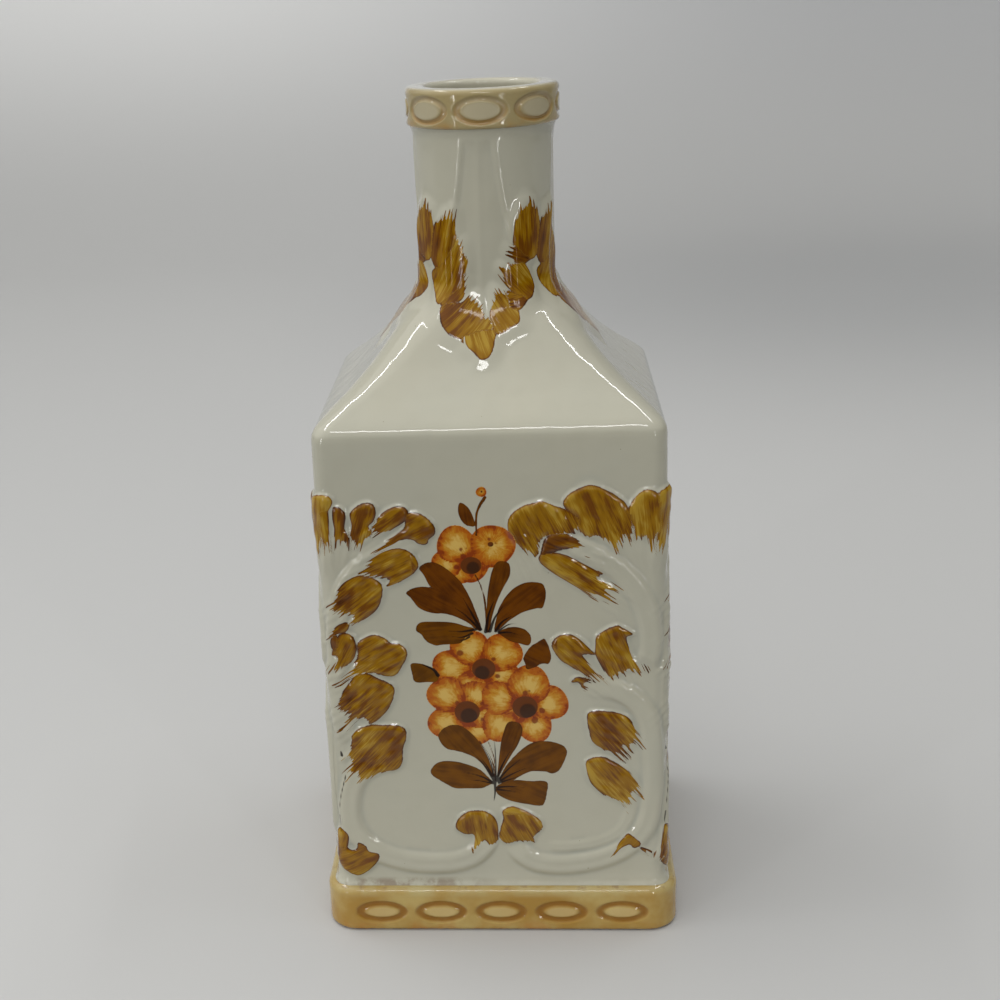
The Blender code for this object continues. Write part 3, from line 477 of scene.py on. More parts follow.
def loft(name, loops, closed, finish, marks=None, facing=None):
    """A closed skin through loops of equal point count, anticlockwise seen from above, from the foot up. Its
    two ends are capped, or its last loop is joined to its first."""
    rows, columns = loops.shape[:2]
    index = np.arange(rows * columns).reshape(rows, columns)
    lower, upper = (index, np.roll(index, -1, 0)) if closed else (index[:-1], index[1:])
    quads = np.stack([lower, np.roll(lower, -1, 1), np.roll(upper, -1, 1), upper], axis=-1).reshape(-1, 4)
    corners = [quads.ravel()]
    starts = [np.arange(len(quads)) * 4]
    if not closed:
        corners += [index[0][::-1], index[-1]]
        starts.append(len(quads) * 4 + np.array([0, columns]))
    corners, starts = np.concatenate(corners), np.concatenate(starts)
    mesh = bpy.data.meshes.new(name)
    mesh.vertices.add(rows * columns)
    mesh.vertices.foreach_set("co", loops.astype(np.float32).ravel())
    mesh.loops.add(len(corners))
    mesh.loops.foreach_set("vertex_index", corners.astype(np.int32))
    mesh.polygons.add(len(starts))
    mesh.polygons.foreach_set("loop_start", starts.astype(np.int32))
    mesh.update(calc_edges=True)
    mesh.shade_smooth()
    for mark, values in (marks or {}).items():
        layer = mesh.attributes.new(mark, "FLOAT", "POINT")
        layer.data.foreach_set("value", values.astype(np.float32).ravel())
    if facing is not None:
        found = np.empty(rows * columns * 3, np.float32)
        mesh.vertex_normals.foreach_get("vector", found)
        found = found.reshape(rows, columns, 3)
        known = ~np.isnan(facing[..., 0])
        found[known] = facing[known]
        mesh.normals_split_custom_set_from_vertices(found.reshape(-1, 3))
    mesh.materials.append(finish)
    return placed(name, mesh)


def earthenware(red, green, blue):
    """A colour as it is seen, from 0 to 255, as the light it gives back."""
    seen = np.array([red, green, blue]) / 255
    light = np.where(seen <= 0.04045, seen / 12.92, ((seen + 0.055) / 1.055) ** 2.4)
    return (*light.tolist(), 1.0)


class Mixer:
    """Adds nodes to a tree, each fed with other nodes' outputs or with constants."""

    def __init__(self, tree):
        self.tree = tree

    def feed(self, socket, value):
        if isinstance(value, bpy.types.NodeSocket):
            self.tree.links.new(value, socket)
        else:
            socket.default_value = value

    def node(self, kind, *values, **settings):
        made = self.tree.nodes.new(kind)
        for name, value in settings.items():
            setattr(made, name, value)
        for socket, value in zip(made.inputs, values):
            self.feed(socket, value)
        return made

    def sum(self, operation, *values):
        return self.node("ShaderNodeMath", *values, operation=operation).outputs[0]

    def plus(self, total, *values):
        for value in values:
            total = self.sum("ADD", total, value)
        return total

    def minus(self, first, second):
        return self.sum("SUBTRACT", first, second)

    def times(self, total, *values):
        for value in values:
            total = self.sum("MULTIPLY", total, value)
        return total


class Glaze(Mixer):
    """A material mixed from readings of the surface. Its colours are given as they are seen, 0 to 255."""

    def __init__(self, name):
        self.material = bpy.data.materials.new(name)
        self.material.use_nodes = True
        super().__init__(self.material.node_tree)
        self.shader = self.tree.nodes["Principled BSDF"]
        self.place = self.node("ShaderNodeTexCoord").outputs["Object"]

    def reading(self, name):
        return self.node("ShaderNodeAttribute", attribute_name=name).outputs["Fac"]

    def split_place(self):
        return self.node("ShaderNodeSeparateXYZ", self.place).outputs

    def vector(self, x, y, z):
        return self.node("ShaderNodeCombineXYZ", x, y, z).outputs[0]

    def step(self, value, low, high, start=0.0, end=1.0):
        made = self.node("ShaderNodeMapRange", value, low, high, start, end, interpolation_type="SMOOTHSTEP")
        return made.outputs[0]

    def blend(self, share, first, second):
        made = self.node("ShaderNodeMix", share, data_type="RGBA")
        for socket, colour in zip(made.inputs[6:8], (first, second)):
            self.feed(socket, earthenware(*colour) if isinstance(colour, tuple) else colour)
        return made.outputs[2]

    def over(self, ground, *layers):
        """Lays colours over a ground, each with its share."""
        for share, colour in layers:
            ground = self.blend(share, ground, colour)
        return ground

    def shades(self, reading, colour, *steps):
        """The first colour, then others as the reading grows, each between a low and a high reading."""
        return self.over(colour, *[(self.step(reading, low, high), other) for low, high, other in steps])

    def cloud(self, size, detail=2.0, roughness=0.55, place=None):
        """Soft blotches about so many millimetres across, or of the place's own unit where one is given."""
        made = self.node("ShaderNodeTexNoise", self.place if place is None else place)
        made.inputs["Scale"].default_value = 1 / (size * MM) if place is None else 1 / size
        made.inputs["Detail"].default_value = detail
        made.inputs["Roughness"].default_value = roughness
        return made.outputs["Fac"]

    def patches(self, size, detail, low, high, start=0.0, end=1.0, roughness=0.55):
        """Blotches whose edges are drawn in between two levels of a cloud."""
        return self.step(self.cloud(size, detail, roughness), low, high, start, end)

    def specks(self, spacing, radius, rarity):
        """Iron specks: at most one to a cell, and none in most."""
        made = self.node("ShaderNodeTexVoronoi", self.place)
        made.inputs["Scale"].default_value = 1 / (spacing * MM)
        chance = self.node("ShaderNodeSeparateColor", made.outputs["Color"])
        size = self.times(self.step(chance.outputs[0], rarity, 1.0), radius / spacing)
        return self.step(self.minus(size, made.outputs["Distance"]), 0.0, 0.3 * radius / spacing)

    def streaks(self, width, stretch, layer):
        """Streaks so many millimetres wide that run along the stroke, mostly between -1 and 1."""
        along = self.times(self.reading("grain_along"), stretch)
        place = self.vector(self.reading("grain_across"), along, layer)
        return self.step(self.cloud(width, place=place), 0.30, 0.70, -1.0, 1.0)

    def ripple(self, broad, fine, share, detail=2.0):
        return self.plus(self.cloud(broad, detail), self.times(self.cloud(fine, detail), share))

    def finish(self, colour, roughness, bump, distance, coat=1.0):
        """A dull clay colour under a clear coat that carries the gloss."""
        bumped = self.node("ShaderNodeBump")
        self.feed(bumped.inputs["Distance"], distance)
        self.feed(bumped.inputs["Height"], bump)
        values = {"Base Color": colour, "Roughness": roughness, "IOR": 1.45, "Specular IOR Level": 0.08,
                  "Coat Weight": coat, "Coat Roughness": 0.03, "Coat IOR": 1.42,
                  "Normal": bumped.outputs[0], "Coat Normal": bumped.outputs[0]}
        for name, value in values.items():
            self.feed(self.shader.inputs[name], value)
        return self.material


def white_ground(glaze):
    """The body's own glaze: grey-white, a little greener where it lies thick, with iron specks, and painted
    shade in hollows.
    """
    return glaze.over(
        glaze.blend(glaze.cloud(34.0), (180, 179, 163), (186, 182, 162)),
        (glaze.patches(7.0, 2.0, 0.45, 0.75, 0.0, 0.16), (172, 169, 150)),
        # Painted shade: the relief's hollows are darker and greener, where the glaze also gathers.
        (glaze.step(glaze.reading("hollow"), 0.02, 0.40, 0.0, 0.45), (150, 154, 146)),
        (glaze.specks(9.0, 0.40, 0.72), (112, 92, 62)),
        (glaze.specks(4.1, 0.17, 0.62), (112, 96, 72)))


def ochre_over(glaze, ground, gathering, swell):
    """Ochre brushed over the raised lobes: straw where it is thin, brown where it gathers in hollows, and
    drawn out to bristle tips where the brush left. Gives the colour, the share of paint and the streaks."""
    dry = glaze.reading("dry")
    depth = glaze.plus(glaze.reading("ochre"), swell)
    bristles, swathes = glaze.streaks(0.75, 0.05, 0.0), glaze.streaks(1.7, 0.14, 4.0)
    hairs, loads = glaze.streaks(0.34, 0.06, 8.0), glaze.streaks(5.0, 0.45, 12.0)
    dryness = glaze.sum("POWER", dry, 3.0)
    ragged = glaze.times(bristles, glaze.step(dryness, 0.0, 1.0, 0.07, 2.2))
    edge = glaze.minus(glaze.plus(depth, ragged), glaze.step(dryness, 0.0, 1.0, 0.0, 0.70))
    paint = glaze.step(edge, -0.05, 0.10)
    wet_edge = glaze.times(glaze.step(depth, 0.05, 0.50, 0.70, 0.0), glaze.step(dry, 0.3, 0.9, 1.0, 0.4))
    thick = glaze.plus(
        glaze.reading("tone"), glaze.times(swathes, 0.24), glaze.times(bristles, 0.08),
        glaze.times(hairs, glaze.step(dry, 0.0, 1.0, 0.10, 0.38)), glaze.times(loads, 0.34),
        glaze.times(glaze.reading("hollow"), gathering), wet_edge)
    colour = glaze.shades(
        thick, (170, 136, 44), (-0.20, 0.30, (142, 100, 0)), (0.30, 0.78, (108, 62, 0)),
        (0.78, 1.40, (66, 30, 0)))
    return glaze.blend(paint, ground, colour), paint, bristles


def bouquet_over(glaze, ground):
    """Orange petals with pale roots and burnt rims, brown leaves, and the fine brush's dark lines."""
    watery = glaze.minus(glaze.cloud(2.6, 4.0, 0.60), 0.5)
    from_heart = glaze.minus(glaze.reading("petal_root"), glaze.times(watery, 3.0))
    share = glaze.plus(
        glaze.reading("petal_share"), glaze.times(watery, 0.92),
        glaze.times(glaze.streaks(0.9, 0.35, 7.0), 0.11), glaze.step(from_heart, -0.2, 2.6, 0.26, 0.0))
    petal = glaze.shades(
        share, (208, 172, 90), (0.16, 0.56, (190, 134, 34)), (0.48, 0.82, (172, 90, 4)),
        (0.84, 1.02, (136, 54, 0)))
    dots = glaze.plus(glaze.reading("dot"), glaze.times(watery, 1.2))
    brushed = glaze.streaks(1.1, 0.08, 9.0)
    heavy = glaze.step(glaze.plus(glaze.times(brushed, 0.12), glaze.cloud(6.0)), 0.25, 0.80)
    chocolate = glaze.blend(heavy, (106, 56, 0), (74, 34, 0))
    olive = glaze.blend(heavy, (114, 70, 0), (86, 50, 0))
    depth = glaze.reading("leaf")
    leaf = glaze.over(
        glaze.blend(glaze.reading("leaf_tone"), chocolate, olive),
        (glaze.step(depth, 0.0, 0.40, 0.45, 0.0), (52, 22, 4)))
    heart = glaze.blend(glaze.reading("tone"), (98, 48, 4), (60, 30, 4))
    return glaze.over(
        ground,
        (glaze.step(glaze.reading("petal"), -0.08, 0.14), petal),
        (glaze.step(dots, -0.15, 0.35, 0.0, 0.85), (116, 42, 4)),
        (glaze.step(glaze.plus(depth, glaze.times(brushed, 0.07)), -0.06, 0.10), leaf),
        (glaze.step(glaze.reading("disc"), -0.05, 0.15), heart),
        (glaze.step(glaze.reading("ink"), -0.08, 0.14, 0.0, 0.94), (24, 12, 6)))


def foot_grime(glaze, ground):
    """Brown dirt caught where the wall meets the plinth, most of it on the left."""
    x, _, z = glaze.split_place()
    low = glaze.step(z, PANEL_FOOT + 0.9 * MM, PANEL_FOOT + 2.8 * MM, 0.65, 0.0)
    left = glaze.step(x, 2 * MM, -22 * MM, 0.12, 1.0)
    caught = glaze.patches(7.0, 4.0, 0.40, 0.58, roughness=0.6)
    return glaze.blend(glaze.times(low, left, caught), ground, (124, 104, 84))


def finish_white(glaze, colour, paint, bristles, coat):
    """A dipped glaze's slow unevenness, with the body of the brushed paint on it."""
    roughness = glaze.patches(5.0, 2.0, 0.3, 0.7, 0.10, 0.17)
    bump = glaze.plus(glaze.ripple(9.0, 2.6, 0.10, 1.0), glaze.times(paint, bristles, 0.02))
    return glaze.finish(colour, roughness, bump, 0.30 * MM, coat)


def painted_wall():
    glaze = Glaze("painted_white_glaze")
    ground, paint, bristles = ochre_over(glaze, foot_grime(glaze, white_ground(glaze)), 1.1, 0.05)
    coat = glaze.step(glaze.reading("leaf"), -0.06, 0.10, 1.0, 0.45)
    return finish_white(glaze, bouquet_over(glaze, ground), paint, bristles, coat)


def round_corner(spots, lift, half_across, half_out):
    """Places round a side's corners, in metres, as X and Y seen square on, with the relief's lift added."""
    flat = half_across - BODY_CORNER
    turned = np.clip((np.abs(spots) - flat) / BODY_CORNER, 0.0, None)
    reach = np.where(turned > 0, (BODY_CORNER + lift) * np.sin(turned), 0.0)
    x = np.sign(spots) * (np.minimum(np.abs(spots), flat) + reach)
    y = -(half_out - BODY_CORNER + (BODY_CORNER + lift) * np.cos(turned))
    return x, y


def turn_to(side, x, y):
    quarter = SIDES.index(side) * math.pi / 2
    return x * math.cos(quarter) - y * math.sin(quarter), x * math.sin(quarter) + y * math.cos(quarter)


GHOST = 0.3                                  # a point beyond each edge, so that normals run on past it
INNER_COLUMNS = 8
SMOOTH_FROM = 150.0                          # no relief reaches the shoulder


def with_ghosts(places):
    return np.concatenate([[places[0] - GHOST], places, [places[-1] + GHOST]])


# The mesh is finest where the bouquet is painted, and what lies below the relief is coarse.
wall_columns = even_steps((-FACE_HALF, -26.0, 0.47), (-26.0, 22.0, 0.30), (22.0, FACE_HALF, 0.47))
wall_rows = even_steps((vessel_low.z / MM, 14.0, 5.0), (14.0, 44.0, 0.45), (44.0, 142.5, 0.36),
                       (142.5, WALL_TOP / MM, 0.95))
panel = Ornament(with_ghosts(wall_columns), with_ghosts(wall_rows), PANEL_PERIOD)
for line, half_width, height in WALL_BANDS:
    panel.band(line, half_width, height)
for outline, root, tip, tone in WALL_STROKES:
    panel.stroke(outline, root, tip, tone, LOBE_HEIGHT, ribs=WALL_RIBS * (root[1] > RIBS_FROM))
paint_bouquet(panel)
panel.soften(2)
panel.hollows(9)
foot = np.exp(-np.clip(panel.rows - PANEL_FOOT / MM, 0.0, None) / FOOT_FILLET_RISE)
panel.height += (FOOT_FILLET * foot)[:, None]
panel.height[panel.rows > SMOOTH_FROM] = 0.0
panel.height[:2] = 0.0                       # flat where the casting's floor begins

painted = painted_wall()
for side in SIDES:
    half_across = HALF_ACROSS[side]
    half_out = vessel_high.x + vessel_high.y - half_across
    side_half = half_across - BODY_CORNER * (1 - math.pi / 4)
    spots = panel.columns * (side_half / FACE_HALF)
    x, y = round_corner(spots[None, :], panel.height * MM, half_across, half_out)
    up = np.broadcast_to(panel.rows[:, None] * MM, x.shape)
    outer = np.stack([*turn_to(side, x, y), up], axis=-1)
    facing = normals_of(outer)
    outer = outer[1:-1, 1:-1]
    behind = side_half - BODY_WALL
    inner_x = np.linspace(behind, -behind, INNER_COLUMNS)[None, :]
    inner_y = np.full((len(wall_rows), 1), -(half_out - BODY_WALL))
    inner_x, inner_y = np.broadcast_arrays(inner_x, inner_y)
    inner_up = np.broadcast_to(wall_rows[:, None] * MM, inner_x.shape)
    inner = np.stack([*turn_to(side, inner_x, inner_y), inner_up], axis=-1)
    loops = np.concatenate([outer, inner], axis=1)
    bare = np.full(inner.shape[:2], -FAR_OFF)
    marks = {}
    for name, values in panel.marks.items():
        away = bare * (name in PAINTS)
        marks[name] = np.concatenate([values[1:-1, 1:-1], away], axis=1)
    known = np.concatenate([facing, np.full(inner.shape, np.nan)], axis=1)
    wall = loft(f"{side}_wall", loops, False, painted, marks, known)
    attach(wall, "root")
    kinds = ("left_acanthus", "left_scroll", "right_acanthus", "right_scroll", "centre_shell")
    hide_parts("vessel", *[f"{kind}_{side}" for kind in kinds])

# The shoulder and the neck: the same casting drawn in from the square body to a round neck, with its tongue
# in the collar's socket. Four garlands of brushed leaves hang round it, and a shallow flute runs down each
# side of the neck into the garland's point.
collar_low, collar_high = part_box("mouth_collar")
NECK_BLEND = 6.0 * MM
BORE_RADIUS = 16.2 * MM
NECK_RADIUS = 20.6 * MM
TONGUE_RADIUS = 18.6 * MM
NECK_TOP = collar_low.z - 0.02 * MM
NECK_FLARE = 0.8 * MM
NECK_FLARE_RISE = 3.0 * MM
SHOULDER_WALL = 5.8 * MM
BORE_BEND = 4.0 * MM                         # how far below the neck's top the lining starts to widen
LINING_OVERLAP = 2.0 * MM                    # how far the lining runs down behind the walls
HIP_SOFTENING = 14.0 * MM                    # what the hips gain in roundness up to the neck
GARLAND_ARC = 25.0 * MM                      # the radius at which a degree of the garland is measured
DEGREE = math.radians(1) * GARLAND_ARC / MM  # millimetres
HIP_LINE = (                                 # millimetres up, and what is left of the body's half width
    (148.0, 1.000), (152.0, 1.000), (156.4, 0.9995), (158.1, 0.9955), (159.7, 0.981), (161.1, 0.957),
    (164.4, 0.883), (168.0, 0.796), (174.5, 0.662), (180.0, 0.572), (185.0, 0.494), (190.0, 0.408),
    (195.0, 0.326), (200.0, 0.254), (206.0, 0.182), (240.0, 0.050),
)
# Garland strokes on one side: outline, root, tip and tone, in degrees from its middle and millimetres up.
GARLAND_STROKES = (
    ((-36, 213.5, -31, 214.8, -27, 215, -24, 216, -23, 213, -22.5, 209.5, -22.5, 206.5, -27, 204.5,
      -33, 200.5, -40, 199.5, -45.5, 202, -46.8, 206, -44.5, 209.5, -40, 212.5), (-38, 199), (-28, 216),
      0.6),
    ((-22.5, 208.5, -18.5, 207, -16, 204.5, -14.5, 201.5, -16.5, 198.5, -19, 196, -24, 193, -30, 190.5,
      -35, 189.6, -39, 191.5, -43.5, 194.5, -46, 198, -40, 200, -33, 203, -27, 206.5), (-40, 191),
      (-20, 209), 0.32),
    ((-17, 199.5, -16, 197, -16.5, 194.5, -18, 191.6, -22, 190.4, -28, 189.6, -32.5, 189.4, -30, 191.4,
      -24, 193.6, -19.5, 196.2), (-32, 190), (-17, 198), 0.62),
    ((-31.5, 188.5, -28, 190, -22, 189.8, -17.5, 190, -13, 191.6, -8, 190.6, -4, 189, -1.8, 186.5,
      0.5, 185.5, 3.5, 185.2, 4.2, 183.2, -2, 181.6, -9, 180.6, -16, 180.8, -22, 182, -26, 183.6,
      -29.5, 186), (-26, 182.5), (-8, 191.5), 0.42),
    ((-15, 181.4, -9.5, 183, -3, 183.4, 2, 183, 5.4, 182, 4.2, 180, 2.6, 177.4, 0, 175.8, -3, 175.6,
      -6, 177, -10, 178.6, -13, 180), (-1, 175), (-8, 183.5), 0.25),
    ((7.6, 192.8, 11.5, 193, 15.4, 192.2, 17.6, 190, 18.5, 188.4, 21.6, 188.2, 22, 186, 20.5, 184.4,
      16, 183.4, 11, 182.2, 6.6, 181.8, 4.6, 183.6, 3.2, 186.6, 5, 189.5), (19, 184), (7, 193), 0.4),
    ((17, 192.8, 23, 192, 30.5, 190.8, 27.5, 189, 22, 187.4, 17.5, 187.6, 16, 190), (30, 190.5), (16, 190),
      0.66),
    ((13.4, 199, 18, 199.9, 22.5, 200, 28, 201.6, 32, 200.2, 36, 197.4, 38.6, 194, 36, 191.6, 31, 190.2,
      26, 191.2, 20.5, 193.2, 16, 195.6), (34, 190.5), (15, 200), 0.36),
    ((22, 206, 27.5, 205.8, 37.5, 202.6, 33, 201, 28, 200.6, 23.5, 201.4, 20, 203.6), (37, 202),
      (20.5, 204.5), 0.95),
    ((33.5, 217.6, 38, 217.8, 43.5, 216, 46.4, 213, 47.4, 209.5, 46.4, 205.4, 42.5, 202.6, 36.5, 201.6,
      30.5, 201.4, 26, 203.4, 23.2, 206.4, 23.6, 210, 25.4, 213, 29, 215.4), (38, 201), (37, 218.5), 0.48),
)
GARLAND_HEIGHT = 0.95                        # millimetres, and so are the rest
GARLAND_RIDGE = 0.12
GARLAND_BED = 1.00                           # the clay built up under the strokes
GARLAND_BED_REACH = 4.2
FLUTE_DEPTH = 0.55
FLUTE_EDGE = 1.6                             # across each edge of the flute
FLUTE_TOP, FLUTE_FOOT = 236.5, 184.0
FLUTE_LIP, FLUTE_SPINE = 0.15, 0.20
FLUTE_WIDENS_FROM, FLUTE_WIDENS_FOR = 235.0, 30.0
FLUTE_HALF, FLUTE_WIDENING, FLUTE_BELL = 13.1, 0.25, 0.008    # degrees, and what it gains a millimetre down
FLUTE_LEAN, SPINE_LEAN = 3.4, 3.6            # degrees to the left
RELIEF_TOP = 236.0


def hip_share(up):
    """The hip line as a smooth curve that never doubles back, which is what keeps the shoulder clean."""
    known = np.array(HIP_LINE)
    heights, shares = known[:, 0], known[:, 1]
    gaps = np.diff(heights)
    slopes = np.diff(shares) / gaps
    bend = np.zeros(len(heights))
    level = slopes[:-1] * slopes[1:] > 0
    bend[1:-1][level] = 2 / (1 / slopes[:-1][level] + 1 / slopes[1:][level])
    up = np.clip(up, heights[0], heights[-1])
    spot = np.clip(np.searchsorted(heights, up) - 1, 0, len(gaps) - 1)
    gap = gaps[spot]
    t = (up - heights[spot]) / gap
    return (shares[spot] * (2 * t**3 - 3 * t**2 + 1) + shares[spot + 1] * (3 * t**2 - 2 * t**3)
            + bend[spot] * gap * (t**3 - 2 * t**2 + t) + bend[spot + 1] * gap * (t**3 - t**2))


def square_reach(azimuth, half_x, half_y, corner):
    """Distance from the axis to a rounded rectangle."""
    across, out = np.abs(np.cos(azimuth)), np.abs(np.sin(azimuth))
    flat = np.minimum(half_x / np.maximum(across, 1e-9), half_y / np.maximum(out, 1e-9))
    arc_x, arc_y = half_x - corner, half_y - corner
    middle = arc_x * across + arc_y * out
    round_it = np.sqrt(np.maximum(middle**2 - arc_x**2 - arc_y**2 + corner**2, 0.0)) + middle
    on_arc = (flat * across > arc_x) & (flat * out > arc_y)
    return np.where(on_arc, round_it, flat)


def vessel_reach(azimuth, up, inset, neck):
    """Distance from the axis to the casting's skin, or to its lining with an inset and the bore given."""
    share = hip_share(up / MM)
    half_x, half_y = (vessel_high.x - inset) * share, (vessel_high.y - inset) * share
    corner = np.minimum(BODY_CORNER + HIP_SOFTENING * (1 - share), 0.9 * half_y)
    square = square_reach(azimuth, half_x, half_y, corner)
    overlap = np.maximum(NECK_BLEND - np.abs(square - neck), 0.0) / NECK_BLEND
    return np.maximum(square, neck) + overlap**2 * NECK_BLEND / 4


def flute(panel):
    """A shallow channel down the middle of the neck that widens towards the garland, with a soft ridge down
    its own middle. It lies a few degrees to the left, as the garland does."""
    across, up = np.meshgrid(panel.columns, panel.rows)
    below = np.clip(FLUTE_WIDENS_FROM - up, 0.0, FLUTE_WIDENS_FOR)
    half = (FLUTE_HALF + FLUTE_WIDENING * below + FLUTE_BELL * below**2) * DEGREE
    sides = half - np.abs(across + FLUTE_LEAN * DEGREE)
    fade = smooth_step(up, FLUTE_FOOT, FLUTE_FOOT + 14.0) * fading(up, FLUTE_TOP - 3.0, FLUTE_TOP)
    channel = -FLUTE_DEPTH * smooth_step(sides, 0.0, FLUTE_EDGE)
    lip = FLUTE_LIP * np.exp(-(((sides + 0.8) / 1.1) ** 2))
    spine = FLUTE_SPINE * np.exp(-(((across + SPINE_LEAN * DEGREE) / 1.3) ** 2))
    panel.height += (channel + lip + spine) * fade


def garlanded_neck():
    glaze = Glaze("garlanded_white_glaze")
    colour, paint, bristles = ochre_over(glaze, white_ground(glaze), 0.7, 0.40)
    return finish_white(glaze, colour, paint, bristles, glaze.step(paint, 0.0, 1.0, 1.0, 0.45))


SHOULDER_COLUMNS = 440
neck_top = NECK_TOP / MM
wall_top = WALL_TOP / MM
quarter_columns = np.linspace(-45.0, 45.0, SHOULDER_COLUMNS // 4, endpoint=False)
shoulder_rows = with_ghosts(even_steps(
    (wall_top, 162.0, 0.42), (162.0, 172.0, 0.9), (172.0, 220.0, 0.40), (220.0, neck_top - 4.0, 0.9),
    (neck_top - 4.0, neck_top, 0.4)))
skirt = Ornament(quarter_columns * DEGREE, shoulder_rows, 90.0 * DEGREE)
for outline, root, tip, tone in GARLAND_STROKES:
    outline, root, tip = [np.reshape(run, (-1, 2)) * (DEGREE, 1.0) for run in (outline, root, tip)]
    skirt.stroke(outline, root[0], tip[0], tone, GARLAND_HEIGHT, ragged=0.9, ridge=GARLAND_RIDGE)
bed = GARLAND_BED * smooth_step(skirt.marks["ochre"], -GARLAND_BED_REACH, 0.3)
skirt.height = np.maximum(skirt.height, bed)
flute(skirt)
skirt.soften(2)
skirt.hollows(9)
skirt.height *= smooth_step(skirt.rows, wall_top + 4.0, wall_top + 14.0)[:, None]
skirt.height *= fading(skirt.rows, RELIEF_TOP, neck_top - 0.5)[:, None]

turned = np.radians(quarter_columns)
azimuths = np.concatenate([turned - math.pi / 2 + quarter * math.pi / 2 for quarter in range(4)])
lift = np.tile(skirt.height, (1, 4)) * MM
up = shoulder_rows[:, None] * MM
opened = np.clip(up - (NECK_TOP - NECK_FLARE_RISE), 0.0, NECK_FLARE_RISE) / NECK_FLARE_RISE
reach = vessel_reach(azimuths[None, :], up, 0.0, NECK_RADIUS + NECK_FLARE * opened**2)


def round_ring(radii, height):
    """Points round the axis, the radii and the heights given as numbers or as arrays."""
    radii, height = np.broadcast_arrays(radii, height)
    turns = azimuths if radii.ndim == 0 else np.broadcast_to(azimuths, radii.shape)
    x, y, z = np.broadcast_arrays(radii * np.cos(turns), radii * np.sin(turns), height)
    return np.stack([x, y, z], axis=-1)


def wrapped(grid):
    return np.concatenate([grid[:, -1:], grid, grid[:, :1]], axis=1)


bare_skin = round_ring(reach, up)
out_of_skin = normals_of(wrapped(bare_skin))
out_of_skin = np.concatenate([out_of_skin[:1], out_of_skin, out_of_skin[-1:]])
skin = bare_skin + out_of_skin * lift[..., None]
facing = normals_of(wrapped(skin))
skin = skin[1:-1]

tongue_top = vessel_high.z
ROUNDED = 0.5 * MM
linings = [round_ring(radius, height) for radius, height in (
    (TONGUE_RADIUS, NECK_TOP), (TONGUE_RADIUS, tongue_top - ROUNDED), (TONGUE_RADIUS - ROUNDED, tongue_top),
    (BORE_RADIUS + ROUNDED, tongue_top), (BORE_RADIUS, tongue_top - ROUNDED))]
heights = np.linspace(NECK_TOP - BORE_BEND, WALL_TOP - SHOULDER_WALL, 30)
for above, height in [*zip(heights + SHOULDER_WALL, heights), (WALL_TOP, heights[-1] - LINING_OVERLAP)]:
    linings.append(round_ring(vessel_reach(azimuths, above, BODY_WALL, BORE_RADIUS), height))
linings = np.stack(linings)
marks = {}
for name in ("ochre", "grain_across", "grain_along", "dry", "tone", "hollow"):
    values = np.tile(skirt.marks[name][1:-1], (1, 4))
    lining = np.full(linings.shape[:2], -FAR_OFF if name == "ochre" else 0.0)
    marks[name] = np.concatenate([values, lining])
known = np.concatenate([facing, np.full(linings.shape, np.nan)])
neck = loft("shoulder_and_neck", np.concatenate([skin, linings]), True, garlanded_neck(), marks, known)
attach(neck, "root")
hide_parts("vessel", *[f"neck_garland_{side}" for side in SIDES])

# The floor of the body, which closes the casting between the four walls, with a fillet to the walls. It is
# given one finish all over: the glaze wiped thin, as it is underneath, inside the foot ring.
FLOOR_THICKNESS = 5.0 * MM
FLOOR_FILLET = 4.0 * MM
FLOOR_UNDER = 30.0 * MM                      # how far in the innermost ring lies underneath
FLOOR_MIDDLE = (20.0 * MM, 17.0 * MM)        # half sizes of the innermost ring on top
FLOOR_FLATS, FLOOR_ARCS = 24, 8              # points along each flat and round each corner


def sided_ring(half_x, half_y, corner, flats, arcs):
    """A rounded rectangle's points, anticlockwise from the front's left end, with as many on each flat and
    corner whatever its size, and each point's distance from the middle of its side."""
    points, distances = [], []
    for side in range(4):
        across, out = (half_x, half_y) if side % 2 == 0 else (half_y, half_x)
        flat = np.linspace(-1.0, 1.0, flats, endpoint=False) * (across - corner)
        bend = np.linspace(0.0, math.pi / 2, arcs, endpoint=False)
        x = np.concatenate([flat, across - corner + corner * np.sin(bend)])
        y = -np.concatenate([np.full(flats, out), out - corner + corner * np.cos(bend)])
        points.append(np.stack(turn_to(SIDES[side], x, y), 1))
        distances.append(np.concatenate([flat, across - corner + corner * bend]))
    return np.concatenate(points), np.concatenate(distances)


def at_height(ring, height):
    return np.concatenate([ring, np.full((len(ring), 1), height)], axis=1)


def quarter_round(radius, steps):
    """How far the steps of a quarter turn lie from where it starts, and from where it ends."""
    bends = [step / steps * math.pi / 2 for step in range(1, steps + 1)]
    return [(radius * (1 - math.cos(bend)), radius * (1 - math.sin(bend))) for bend in bends]


def bare_clay():
    glaze = Glaze("wiped_glaze")
    ground = glaze.over(
        glaze.blend(glaze.cloud(14.0, 3.0), (196, 188, 168), (178, 166, 138)),
        (glaze.specks(5.0, 0.3, 0.6), (110, 84, 54)))
    roughness = glaze.patches(6.0, 2.0, 0.3, 0.7, 0.25, 0.5)
    return glaze.finish(ground, roughness, glaze.cloud(0.9, 3.0), 0.05 * MM, 0.2)


